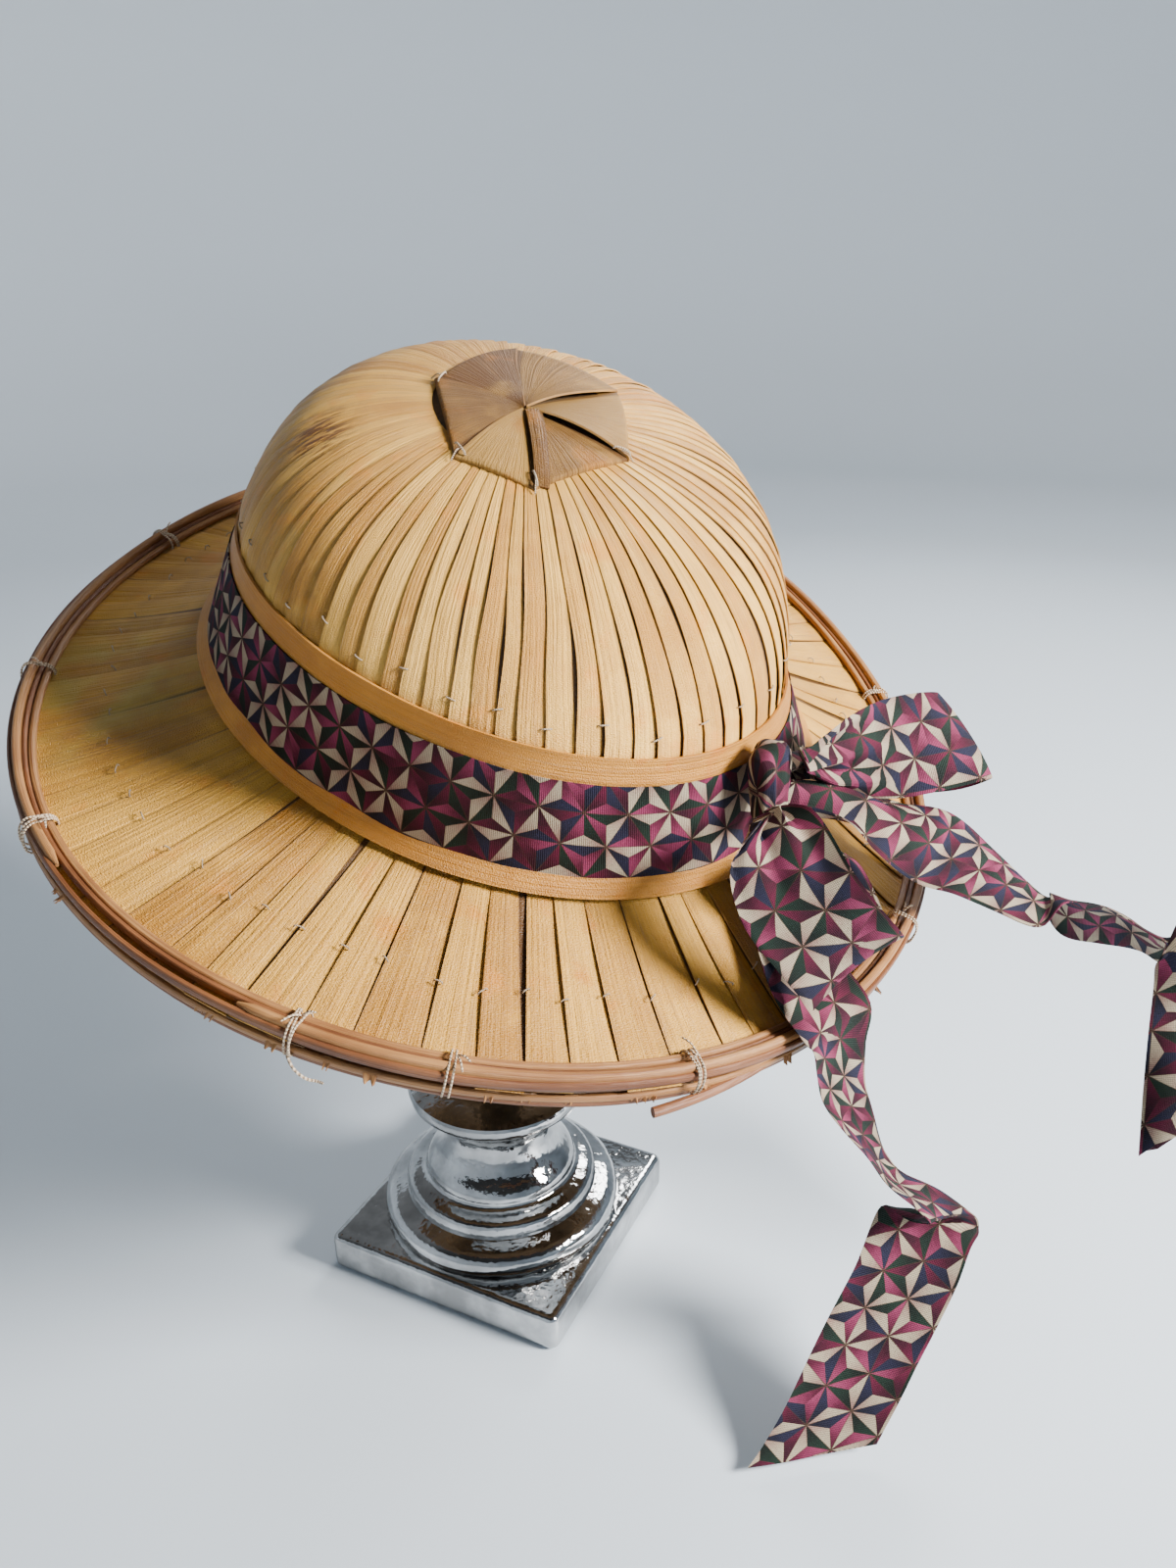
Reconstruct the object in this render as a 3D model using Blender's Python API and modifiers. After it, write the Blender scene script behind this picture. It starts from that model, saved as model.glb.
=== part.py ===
"""A palm-leaf sun hat with a printed ribbon, held up by a turned silver stand.

Lengths are in metres and +Z is up. The stand's foot is centred on the origin. The hat's pieces hang on
one tilted empty, in a frame of their own: its origin is the centre of the brim's rim and its +Z is the
hat's axis. The empty's height is worked out, so that the crown's lining rests on the stand's head.
"""

import math

import bmesh
import bpy
from mathutils import Euler, Matrix, Vector
from mathutils.bvhtree import BVHTree

# Space kept between pieces that touch on the real hat
GAP = 0.0003
SEAT_GAP = 0.0005

# Stand
PLINTH_SIDE = 0.104
PLINTH_HEIGHT = 0.0165
PLINTH_TURN = math.radians(-26.3)
PLINTH_EDGE = 0.003
COLUMN_SIDES = 28
TORUS_RADIUS = 0.049
COLLAR_RADIUS = 0.036
COLLAR_HEIGHT = 0.0785
STEM_RADIUS = 0.013
HEAD_RADIUS = 0.034
HEAD_CURVE = 0.050
STAND_HEIGHT = 0.3315

# Where the hat sits and how it leans
SEAT_X = 0.0073
SEAT_Y = 0.0389
TIP_FORWARD = math.radians(17.9)
LEAN_RIGHT = math.radians(12.7)

# Leaf strips, which overlap like shingles
STRIPS = 72
LEAF_WALL = 0.0012
LEAF_LIFT = 0.0007
STRIP_SHARE = 0.92

# Crown
CROWN_RADIUS = 0.0921
CROWN_HEIGHT = 0.1204
CROWN_ROUNDNESS = 2.34
CROWN_OVAL_ALONG = 0.0182
CROWN_OVAL_ACROSS = -0.0609
CROWN_TILT = Vector((-0.0568, -0.0497))
WAIST_SHIFT = Vector((-0.0055, -0.0129))
APEX_SHIFT = Vector((-0.0014, 0.0288))
CROWN_FOOT = 0.0140

# Folded leaf cap on top of the crown
CAP_RADIUS = 0.0390
CAP_WALL = 0.0012
CAP_RISE = 0.0022
CAP_SPOT = Vector((-0.065, -0.152))
DOME_SPREAD = 1.77
# Each corner: the way it points in degrees, and its distance as a share of the cap's radius
CAP_CORNERS = ((-20, 0.95), (46, 1.05), (94, 1.20), (157, 0.85), (233, 1.00), (277, 1.05))

# Leaf band and ribbon band round the crown's foot
BAND_FOLD = 0.0642
BAND_FLARE = 0.0030
BAND_WALL = 0.0009
RIBBON_WIDTH = 0.0360
RIBBON_WALL = 0.0010
RIBBON_TOP = 0.0550
RIBBON_SLACK = 0.0008
WALL_SLOPE = 0.3645

# Brim
RIM_RADIUS = 0.1680
RIM_OVAL_ALONG = -0.0154
RIM_OVAL_ACROSS = 0.0137
RIM_SADDLE = 0.0081
RIM_SWAY = 0.0030
BRIM_EDGE = 0.0085

# Split-cane hoops that clamp the rim
HOOP_INNER = 0.0019
HOOP_UPPER = 0.0023
HOOP_UNDER = 0.0026
HOOP_SIDES = 48

# String lashings, by the way they face round the rim, in degrees
LASHINGS = (108, 152, 186, 215, 248, 265, 291, 332, 18)
STRING_RADIUS = 0.0006

# Bow
KNOT_TURN = math.radians(-42.5)
KNOT_HEIGHT = 0.0540
KNOT_SIZE = Vector((0.0070, 0.0105, 0.0135))
PIECE_STEPS = 20


# Helpers

def clear_scene():
    for old in list(bpy.data.objects):
        bpy.data.objects.remove(old)


def collection(name):
    made = bpy.data.collections.new(name)
    bpy.context.scene.collection.children.link(made)
    return made


def material(name, colour, roughness, metallic=0.0):
    made = bpy.data.materials.new(name)
    made.use_nodes = True
    shader = made.node_tree.nodes["Principled BSDF"]
    shader.inputs["Base Color"].default_value = (*colour, 1.0)
    shader.inputs["Roughness"].default_value = roughness
    shader.inputs["Metallic"].default_value = metallic
    return made


def add_object(name, data, finish, parent=None, smooth=False):
    obj = bpy.data.objects.new(name, data)
    PARTS.objects.link(obj)
    data.materials.append(finish)
    obj.parent = parent
    if smooth and obj.type == "MESH":
        data.shade_smooth()
    return obj


def sheet_mesh(name, rows, columns, place, wraps=False):
    """A grid of rows and columns bent into shape: place(row share, column number) gives each point."""
    grid = bmesh.new()
    bmesh.ops.create_grid(grid, x_segments=columns, y_segments=rows, size=1.0)
    for vertex in grid.verts:
        column = round((vertex.co.x + 1) / 2 * columns)
        row = round((vertex.co.y + 1) / 2 * rows)
        vertex.co = place(row / rows, column)
    if wraps:
        bmesh.ops.remove_doubles(grid, verts=grid.verts, dist=1e-6)
    mesh = bpy.data.meshes.new(name)
    grid.to_mesh(mesh)
    grid.free()
    return mesh


def solidify(obj, wall, side):
    """side is -1 for a wall inside the sheet, 0 for one half each way, 1 for a wall outside it."""
    made = obj.modifiers.new("Wall", "SOLIDIFY")
    made.thickness = wall
    made.offset = side
    return made


def between(low, high, share):
    return low + (high - low) * share


def smooth_row(table, place):
    """A row between the rows of a table, on a smooth curve through them. place runs from 0 to 1."""
    spot = place * (len(table) - 1)
    at = min(int(spot), len(table) - 2)
    share = spot - at
    before = table[max(at - 1, 0)]
    start = table[at]
    end = table[at + 1]
    after = table[min(at + 2, len(table) - 1)]
    row = []
    for p0, p1, p2, p3 in zip(before, start, end, after):
        bend = 2 * p0 - 5 * p1 + 4 * p2 - p3
        twist = 3 * p1 - p0 - 3 * p2 + p3
        row.append(p1 + 0.5 * share * ((p2 - p0) + share * (bend + share * twist)))
    return row


# Forms that several pieces follow

def strip_angle(column):
    """Two columns a strip: its lifted edge, then its tucked edge just before the next strip."""
    strip, tucked = divmod(column, 2)
    return 2 * math.pi * (strip + STRIP_SHARE * tucked) / STRIPS


def strip_lift(column):
    return LEAF_LIFT * (1 - column % 2)


def on_oval(radius, angle, height, dome=0.0):
    """A point of the crown. Above the waist, dome runs from 0 to 1 at the apex and the oval turns round."""
    long_way = CROWN_OVAL_ALONG * math.cos(2 * angle) + CROWN_OVAL_ACROSS * math.sin(2 * angle)
    reach = radius * (1 + long_way * (1 - dome))
    flat = Vector((math.cos(angle), math.sin(angle))) * reach
    rise = min((height - CROWN_FOOT) / (BAND_FOLD - CROWN_FOOT), 1)
    tilt = CROWN_TILT.dot(flat) * rise
    flat += WAIST_SHIFT * rise + (APEX_SHIFT - WAIST_SHIFT) * dome
    return Vector((flat.x, flat.y, height + tilt))


def crown_wall_radius(height):
    """Outer radius of the crown's wall below its waist, where it widens downwards."""
    return CROWN_RADIUS + WALL_SLOPE * (BAND_FOLD - height)


def dome_point(spot, over=0.0):
    """A point on the dome, from its place in a unit disc: the middle is the apex, the edge the waist."""
    turn = min(spot.length, 1) * math.pi / 2
    dome = max(math.cos(turn), 0) ** (2 / CROWN_ROUNDNESS)
    radius = CROWN_RADIUS * math.sin(turn) ** (2 / CROWN_ROUNDNESS)
    height = between(BAND_FOLD, CROWN_HEIGHT, dome)
    return on_oval(radius + over * (1 - dome), math.atan2(spot.y, spot.x), height + over * dome, dome)


def crown_point(share, column):
    """The strips run from the cap's middle down the dome, and their last step is the wall behind the bands."""
    angle = strip_angle(column)
    lift = strip_lift(column)
    if share > DOME_SHARE:
        return on_oval(crown_wall_radius(CROWN_FOOT) + lift, angle, CROWN_FOOT)
    out = share / DOME_SHARE
    spot = Vector((math.cos(angle), math.sin(angle))) * out + CAP_SPOT * (1 - out**2)
    return dome_point(spot, lift * min(out * 2, 1))


def rim_radius(angle):
    waves = RIM_OVAL_ALONG * math.cos(2 * angle) + RIM_OVAL_ACROSS * math.sin(2 * angle)
    return RIM_RADIUS * (1 + waves)


def rim_height(angle):
    saddle = -RIM_SADDLE * math.cos(2 * angle) + RIM_SWAY * math.sin(2 * angle)
    return saddle + RIM_SWAY * (math.sin(angle) - 0.7 * math.cos(angle))


def brim_point(share, angle, over=0.0):
    """A point on the brim's upper face: 0 is the crown's foot, 1 the inner edge of the hoops."""
    inner = on_oval(crown_wall_radius(CROWN_FOOT) + LEAF_LIFT + GAP * 3, angle, CROWN_FOOT)
    reach = rim_radius(angle)
    outer = Vector((reach * math.cos(angle), reach * math.sin(angle), rim_height(angle)))
    return inner.lerp(outer, share) + Vector((0, 0, over))


def rim_spot(angle, out, up):
    """A point near the rim, out from the inner edge of the hoops and up from the brim's upper face."""
    edge = brim_point(1, angle)
    outwards = Vector((math.cos(angle), math.sin(angle), 0))
    return edge + outwards * out + Vector((0, 0, up))


# Stand

def stand_profile():
    """Radius and height, from the middle of the foot to the top of the head."""
    foot = PLINTH_HEIGHT
    step = (COLLAR_HEIGHT - foot) / 10
    torus = TORUS_RADIUS
    neck = COLLAR_RADIUS * 0.60
    points = [
        (0.0, foot * 0.5),
        (torus * 0.90, foot * 0.5),
        (torus * 0.95, foot + step * 0.1),
        (torus, foot + step * 0.75),
        (torus * 0.95, foot + step * 1.40),
        (torus * 0.80, foot + step * 1.75),
        (torus * 0.80, foot + step * 2.40),
        (torus * 0.74, foot + step * 2.85),
        (torus * 0.63, foot + step * 3.05),
        (torus * 0.62, foot + step * 3.75),
        (torus * 0.52, foot + step * 4.40),
        (neck * 1.04, foot + step * 5.40),
        (neck, foot + step * 6.30),
        (neck * 1.12, foot + step * 7.40),
        (COLLAR_RADIUS * 0.86, foot + step * 8.55),
        (COLLAR_RADIUS * 0.98, foot + step * 9.10),
        (COLLAR_RADIUS, foot + step * 9.60),
        (COLLAR_RADIUS * 0.96, COLLAR_HEIGHT),
        (STEM_RADIUS * 1.5, COLLAR_HEIGHT + step * 0.4),
        (STEM_RADIUS, COLLAR_HEIGHT + step * 1.6),
    ]
    head_sag = HEAD_CURVE - math.sqrt(HEAD_CURVE**2 - HEAD_RADIUS**2)
    rim = STAND_HEIGHT - head_sag
    points.append((STEM_RADIUS, rim - HEAD_RADIUS * 0.9))
    points.append((HEAD_RADIUS * 0.75, rim - HEAD_RADIUS * 0.32))
    points.append((HEAD_RADIUS, rim - HEAD_RADIUS * 0.10))
    widest = math.asin(HEAD_RADIUS / HEAD_CURVE)
    for step_number in range(HEAD_STEPS + 1):
        turn = widest * (1 - step_number / HEAD_STEPS)
        points.append((HEAD_CURVE * math.sin(turn), STAND_HEIGHT - HEAD_CURVE * (1 - math.cos(turn))))
    return points


def build_stand():
    profile = bpy.data.meshes.new("stand_profile")
    points = [(radius, 0, height) for radius, height in stand_profile()]
    profile.from_pydata(points, [(i, i + 1) for i in range(len(points) - 1)], [])
    column = bpy.data.objects.new("column_cutter", profile)
    TOOLS.objects.link(column)
    column.hide_render = True
    column.display_type = "WIRE"
    turn = column.modifiers.new("Turn", "SCREW")
    turn.steps = COLUMN_SIDES
    turn.render_steps = COLUMN_SIDES
    turn.use_merge_vertices = True
    turn.merge_threshold = 1e-5
    turn.use_normal_flip = True

    cube = bmesh.new()
    bmesh.ops.create_cube(cube, size=1.0)
    bmesh.ops.scale(cube, vec=(PLINTH_SIDE, PLINTH_SIDE, PLINTH_HEIGHT), verts=cube.verts)
    bmesh.ops.translate(cube, vec=(0, 0, PLINTH_HEIGHT / 2), verts=cube.verts)
    mesh = bpy.data.meshes.new("stand")
    cube.to_mesh(mesh)
    cube.free()
    stand = add_object("stand", mesh, SILVER, smooth=True)
    mesh.transform(Matrix.Rotation(PLINTH_TURN, 4, "Z"))
    rounded = stand.modifiers.new("Edges", "BEVEL")
    rounded.width = PLINTH_EDGE
    rounded.segments = 2
    join = stand.modifiers.new("Column", "BOOLEAN")
    join.operation = "UNION"
    join.solver = "EXACT"
    join.object = column
    return stand


# Hat

def build_hat_frame():
    frame = bpy.data.objects.new("hat", None)
    PARTS.objects.link(frame)
    up = Vector((math.tan(LEAN_RIGHT), -math.tan(TIP_FORWARD), 1)).normalized()
    right = (Vector((1, 0, 0)) - up * up.x).normalized()
    back = up.cross(right)
    axes = Matrix((right, back, up)).transposed()
    frame.matrix_world = Matrix.Translation((SEAT_X, SEAT_Y, STAND_HEIGHT)) @ axes.to_4x4()
    return frame


def build_crown(hat):
    mesh = sheet_mesh("crown", CROWN_STEPS, 2 * STRIPS, crown_point, wraps=True)
    crown = add_object("crown", mesh, LEAF, hat)
    facing_out(mesh, Vector((0, 0, CROWN_FOOT)))
    solidify(crown, LEAF_WALL, -1)
    return crown


def facing_out(mesh, centre):
    """Turns an open sheet round when its faces look towards this point."""
    shell = bmesh.new()
    shell.from_mesh(mesh)
    total = sum((face.calc_center_median() - centre).dot(face.normal) * face.calc_area() for face in shell.faces)
    if total < 0:
        bmesh.ops.reverse_faces(shell, faces=shell.faces)
    shell.to_mesh(mesh)
    shell.free()


def seat_hat(hat, crown, stand):
    """Lowers the hat until the crown's inner face lies one gap above the stand's head."""
    bpy.context.view_layer.update()
    graph = bpy.context.evaluated_depsgraph_get()
    to_crown = crown.matrix_world.inverted()
    up = Vector((0, 0, 1))
    drops = []
    shell = BVHTree.FromObject(crown, graph)
    for vertex in stand.evaluated_get(graph).data.vertices:
        if vertex.co.z > STAND_HEIGHT - HEAD_RADIUS:
            drops.append(shell.ray_cast(to_crown @ vertex.co, to_crown.to_3x3() @ up)[3])
    head = BVHTree.FromObject(stand, graph)
    for vertex in crown.evaluated_get(graph).data.vertices:
        drops.append(head.ray_cast(crown.matrix_world @ vertex.co, -up)[3])
    hat.location.z -= min(drop for drop in drops if drop is not None) - SEAT_GAP
    bpy.context.view_layer.update()


def cap_corner(number):
    turn, reach = CAP_CORNERS[number % 6]
    angle = math.radians(turn)
    return Vector((math.cos(angle), math.sin(angle))) * (reach * CAP_RADIUS)


def cap_fold_point(share, column, fold):
    """One fold of the cap: a leaf triangle from the middle to one side of the six-sided rosette."""
    across = between(CAP_INSET, 1 - CAP_INSET, column / CAP_COLUMNS)
    out = between(0.10, 1.0, share)
    flat = cap_corner(fold).lerp(cap_corner(fold + 1), across) * out
    lean = CAP_RISE * (0.15 + 0.85 * across) * out
    over = LEAF_LIFT + GAP + lean + CAP_WALL / 2
    return dome_point(CAP_SPOT + flat / (CROWN_RADIUS * DOME_SPREAD), over)


def build_cap(hat):
    for fold in range(6):
        name = f"cap_fold_{fold + 1}"
        mesh = sheet_mesh(name, 3, CAP_COLUMNS, lambda share, column: cap_fold_point(share, column, fold))
        piece = add_object(name, mesh, FOLDED_LEAF, hat)
        facing_out(mesh, Vector((0, 0, 0)))
        solidify(piece, CAP_WALL, 0)


def band_profile_radius(height):
    """Outer radius of the leaf band."""
    return crown_wall_radius(height) + LEAF_LIFT + RIBBON_SLACK + BAND_WALL


def leaf_band_point(share, column):
    angle = 2 * math.pi * column / BAND_COLUMNS
    flare_top = ribbon_foot_height() - RIBBON_WALL
    heights = (BAND_FOLD, RIBBON_TOP, flare_top, CROWN_FOOT + LEAF_LIFT + GAP * 2 + LEAF_WALL)
    step = round(share * 3)
    height = heights[step]
    radius = band_profile_radius(height)
    if step == 3:
        radius += BAND_FLARE
    return on_oval(radius, angle, height)


def ribbon_foot_height():
    return RIBBON_TOP - RIBBON_WIDTH / math.hypot(1, WALL_SLOPE)


def ribbon_band_point(share, column):
    angle = 2 * math.pi * column / BAND_COLUMNS
    height = between(RIBBON_TOP, ribbon_foot_height(), share)
    bulge = 0.0004 * math.sin(math.pi * share)
    return on_oval(band_profile_radius(height) + GAP * 2 + RIBBON_WALL + bulge, angle, height)


def build_bands(hat):
    mesh = sheet_mesh("leaf_band", 3, BAND_COLUMNS, leaf_band_point, wraps=True)
    band = add_object("leaf_band", mesh, BAND_LEAF, hat, smooth=True)
    facing_out(mesh, Vector((0, 0, CROWN_FOOT)))
    solidify(band, BAND_WALL, -1)
    mesh = sheet_mesh("ribbon_band", 2, BAND_COLUMNS, ribbon_band_point, wraps=True)
    ribbon = add_object("ribbon_band", mesh, RIBBON, hat, smooth=True)
    facing_out(mesh, Vector((0, 0, CROWN_FOOT)))
    solidify(ribbon, RIBBON_WALL, -1)


def build_brim(hat):
    """The last row lies flat under the hoops, which clamp it."""

    def place(share, column):
        angle = strip_angle(column)
        if share > 0.75:
            return rim_spot(angle, BRIM_EDGE, strip_lift(column))
        return brim_point(share * BRIM_STEPS, angle, strip_lift(column))

    mesh = sheet_mesh("brim", BRIM_STEPS, 2 * STRIPS, place, wraps=True)
    brim = add_object("brim", mesh, LEAF, hat)
    facing_out(mesh, Vector((0, 0, -10)))
    solidify(brim, LEAF_WALL, -1)


def wire(name, points, radius, finish, hat, cyclic=False, sides_level=1):
    data = bpy.data.curves.new(name, "CURVE")
    data.dimensions = "3D"
    data.bevel_depth = radius
    data.bevel_resolution = sides_level
    data.use_fill_caps = not cyclic
    spline = data.splines.new("POLY")
    spline.points.add(len(points) - 1)
    spline.use_cyclic_u = cyclic
    spline.use_smooth = True
    for spot, point in zip(spline.points, points):
        spot.co = (*point, 1)
    return add_object(name, data, finish, hat, smooth=True)


def hoop_place(name):
    """How far a hoop's middle lies out from the rim's inner edge, and up from the brim."""
    outer = 2 * HOOP_INNER + GAP * 2 + HOOP_UPPER
    return {
        "hoop_inner": (HOOP_INNER, LEAF_LIFT + GAP + HOOP_INNER),
        "hoop_upper": (outer, LEAF_LIFT + GAP + HOOP_UPPER),
        "hoop_under": (outer - HOOP_UNDER * 0.7, -LEAF_WALL - GAP * 2 - HOOP_UNDER),
    }[name]


def build_hoops(hat):
    """Two hoops lie on the brim and one lies under it."""
    for name, radius, finish in (
        ("hoop_inner", HOOP_INNER, CANE),
        ("hoop_upper", HOOP_UPPER, DARK_CANE),
        ("hoop_under", HOOP_UNDER, DARK_CANE),
    ):
        place = hoop_place(name)
        points = [rim_spot(2 * math.pi * i / HOOP_SIDES, *place) for i in range(HOOP_SIDES)]
        wire(name, points, radius, finish, hat, cyclic=True)


def build_lashings(hat):
    """A string over the two upper hoops, round the brim's edge and under the lower hoop."""
    away = STRING_RADIUS + GAP * 2
    upper_out, upper_up = hoop_place("hoop_upper")
    under_out, under_up = hoop_place("hoop_under")
    inner_out, inner_up = hoop_place("hoop_inner")
    over_inner = HOOP_INNER + away
    over_upper = HOOP_UPPER + away
    below = HOOP_UNDER + away
    route = (
        (inner_out - over_inner, inner_up),
        (inner_out - over_inner * 0.75, inner_up + over_inner * 0.75),
        (inner_out, inner_up + over_inner * 1.15),
        (upper_out - over_upper * 0.2, upper_up + over_upper * 1.1),
        (upper_out + over_upper * 0.8, upper_up + over_upper * 0.8),
        (max(BRIM_EDGE, upper_out + HOOP_UPPER) + away * 1.3, LEAF_LIFT),
        (under_out + below * 0.9, under_up - below * 0.7),
        (under_out, under_up - below * 1.15),
        (under_out - below * 0.9, under_up - below * 0.7),
    )
    for number, facing in enumerate(LASHINGS):
        angle = math.radians(facing)
        points = [rim_spot(angle, out, up) for out, up in route]
        wire(f"lashing_{number + 1}", points, STRING_RADIUS, STRING, hat, sides_level=0)


# Bow

def knot_centre():
    reach = band_profile_radius(KNOT_HEIGHT) + RIBBON_WALL + KNOT_SIZE.x + GAP * 2
    return on_oval(reach, KNOT_TURN, KNOT_HEIGHT)


def build_knot(hat):
    ball = bmesh.new()
    bmesh.ops.create_uvsphere(ball, u_segments=14, v_segments=8, radius=1.0)
    mesh = bpy.data.meshes.new("bow_knot")
    for vertex in ball.verts:
        vertex.co = Vector([math.copysign(abs(value) ** 0.8, value) for value in vertex.co])
    ball.to_mesh(mesh)
    ball.free()
    shape = Matrix.Diagonal((*KNOT_SIZE, 1))
    lean = Matrix.Rotation(-math.atan(WALL_SLOPE), 4, "Y")
    facing = Matrix.Rotation(KNOT_TURN, 4, "Z")
    mesh.transform(Matrix.Translation(knot_centre()) @ facing @ lean @ shape)
    add_object("bow_knot", mesh, RIBBON, hat, smooth=True)


def ribbon_piece(name, table, place, hat):
    """A length of ribbon through the rows of a table. place turns a row into its middle and its way across."""
    rows = [smooth_row(table, step / PIECE_STEPS) for step in range(PIECE_STEPS + 1)]

    def point(share, column):
        row = rows[round(share * PIECE_STEPS)]
        middle, across = place(row)
        return middle + across * (RIBBON_WIDTH * (column / 2 - 0.5))

    mesh = sheet_mesh(name, PIECE_STEPS, 2, point)
    piece = add_object(name, mesh, RIBBON, hat, smooth=True)
    solidify(piece, RIBBON_WALL, 0)
    return piece


def across_of(row):
    """The way across the ribbon, from its turn round the hat's axis and its slope, and how wide it opens."""
    turn = math.radians(row[3])
    slope = math.radians(row[4])
    level = math.cos(slope)
    return Vector((level * math.cos(turn), level * math.sin(turn), math.sin(slope))) * row[5]


def hat_row(row):
    """Rows of the loops: place out from the knot in shares of the ribbon's width."""
    return knot_centre() + Vector(row[:3]) * RIBBON_WIDTH, across_of(row)


# Each row: x, y and z from the knot as shares of the ribbon's width, turn and slope in degrees, opening
LOOP_FRONT = (
    (-0.08, -0.46, 0.04, 61, -18, 0.45),
    (-0.05, -0.68, -0.02, 38, 15, 0.90),
    (0.18, -1.09, -0.27, 20, 31, 1.00),
    (0.53, -1.30, -0.53, 23, 33, 1.00),
    (0.86, -1.37, -0.80, 33, 35, 1.00),
    (0.76, -1.00, -0.90, 23, 33, 1.00),
    (0.51, -0.51, -0.69, 19, 30, 0.95),
    (0.22, -0.30, -0.46, 57, -12, 0.45),
)
LOOP_UPPER = (
    (0.25, 0.14, 0.22, 57, -51, 0.42),
    (0.62, 0.43, 0.01, 18, -65, 0.85),
    (1.30, 0.85, -0.09, -40, -58, 1.00),
    (2.19, 1.28, -0.09, -35, -36, 1.00),
    (2.04, 1.56, -0.52, -41, -31, 1.00),
    (1.20, 1.27, -0.61, 5, -58, 0.90),
    (0.25, 0.36, -0.12, 60, -49, 0.42),
)


def build_bow(hat):
    build_knot(hat)
    ribbon_piece("bow_loop_front", LOOP_FRONT, hat_row, hat)
    ribbon_piece("bow_loop_upper", LOOP_UPPER, hat_row, hat)


def world_row(start):
    """Rows of the tails: x and y from the tail's start in shares of their reach, z as a share of its height."""

    def place(row):
        spot = Vector((start.x + row[0] * TAIL_REACH, start.y + row[1] * TAIL_REACH, start.z * row[2]))
        return spot, across_of(row)

    return place


# The tails hang over the rim, so they reach further out where the brim is wider
TAIL_REACH = RIM_RADIUS * 3 / 14

# Where the tails leave the knot, from its middle in ribbon widths
FRONT_START = (-0.00, 0.13, -0.83)
SIDE_START = (0.18, 0.33, -0.27)

TAIL_FRONT = (
    (0.00, 0.00, 0.994, 50, -10, 0.45),
    (0.20, -0.33, 0.904, 44, -2, 0.85),
    (0.35, -0.70, 0.850, 44, -3, 1.00),
    (0.55, -1.02, 0.809, 43, -5, 1.00),
    (0.59, -1.03, 0.762, 48, -23, 1.00),
    (0.64, -0.99, 0.696, 47, -32, 1.00),
    (0.74, -0.93, 0.631, 47, -32, 1.00),
    (0.92, -0.88, 0.563, 54, -33, 1.00),
    (1.10, -0.83, 0.507, 61, -35, 1.00),
    (1.30, -0.78, 0.452, 63, -33, 1.00),
    (1.63, -0.79, 0.410, 56, -28, 1.00),
    (1.89, -0.80, 0.366, 44, -28, 1.00),
    (1.89, -0.61, 0.319, 22, -27, 1.00),
    (1.71, -0.59, 0.314, -9, -23, 1.00),
    (1.46, -0.87, 0.238, -7, -15, 1.00),
    (1.08, -1.23, 0.149, -7, -16, 1.00),
    (0.75, -1.58, 0.076, -4, -9, 1.00),
    (0.49, -1.83, 0.025, -4, -9, 1.00),
)
TAIL_SIDE = (
    (0.02, 0.02, 0.990, -96, 8, 0.40),
    (0.65, 0.24, 0.955, -109, 10, 0.85),
    (1.06, 0.34, 0.923, -119, -2, 1.00),
    (1.62, 0.56, 0.863, -124, -20, 1.00),
    (2.08, 0.70, 0.810, -128, -6, 1.00),
    (2.51, 0.77, 0.756, -123, 6, 1.00),
    (2.88, 0.81, 0.712, -112, 16, 1.00),
    (3.14, 0.87, 0.701, -114, 46, 1.00),
    (3.60, 0.96, 0.676, -117, 50, 1.00),
    (4.05, 1.02, 0.641, -121, 41, 1.00),
    (4.38, 0.95, 0.614, -123, 38, 1.00),
    (4.52, 0.59, 0.629, -175, 1, 1.00),
    (4.40, 0.18, 0.531, -181, 1, 1.00),
    (4.18, -0.31, 0.413, -171, -20, 1.00),
)


def build_tails(hat):
    centre = hat.matrix_world @ knot_centre()
    front = centre + Vector(FRONT_START) * RIBBON_WIDTH
    side = centre + Vector(SIDE_START) * RIBBON_WIDTH
    ribbon_piece("tail_front", TAIL_FRONT, world_row(front), None)
    ribbon_piece("tail_side", TAIL_SIDE, world_row(side), None)


# Counts of rows and columns, which the forms above share

DOME_STEPS = 5
CROWN_STEPS = DOME_STEPS + 1
DOME_SHARE = DOME_STEPS / CROWN_STEPS
BRIM_STEPS = 2
BAND_COLUMNS = 48
CAP_COLUMNS = 3
CAP_INSET = 0.035
HEAD_STEPS = 2

clear_scene()
PARTS = collection("palm_leaf_hat")
TOOLS = collection("cutters")

LEAF = material("palm leaf", (0.62, 0.43, 0.21), 0.42)
FOLDED_LEAF = material("folded leaf", (0.46, 0.31, 0.15), 0.45)
BAND_LEAF = material("leaf band", (0.50, 0.32, 0.14), 0.45)
CANE = material("cane", (0.55, 0.31, 0.14), 0.35)
DARK_CANE = material("dark cane", (0.36, 0.17, 0.08), 0.35)
STRING = material("string", (0.42, 0.30, 0.19), 0.80)
RIBBON = material("ribbon", (0.34, 0.13, 0.20), 0.75)
SILVER = material("silver", (0.80, 0.80, 0.81), 0.08, 1.0)

stand_node = build_stand()
hat_frame = build_hat_frame()
crown_node = build_crown(hat_frame)
seat_hat(hat_frame, crown_node, stand_node)
build_cap(hat_frame)
build_bands(hat_frame)
build_brim(hat_frame)
build_hoops(hat_frame)
build_lashings(hat_frame)
build_bow(hat_frame)
build_tails(hat_frame)
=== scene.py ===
"""A palm-leaf sun hat with a printed ribbon bow, tipped on a turned silver stand."""

import math
import random

import bmesh
import bpy
from mathutils import Matrix, Vector, noise


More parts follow.
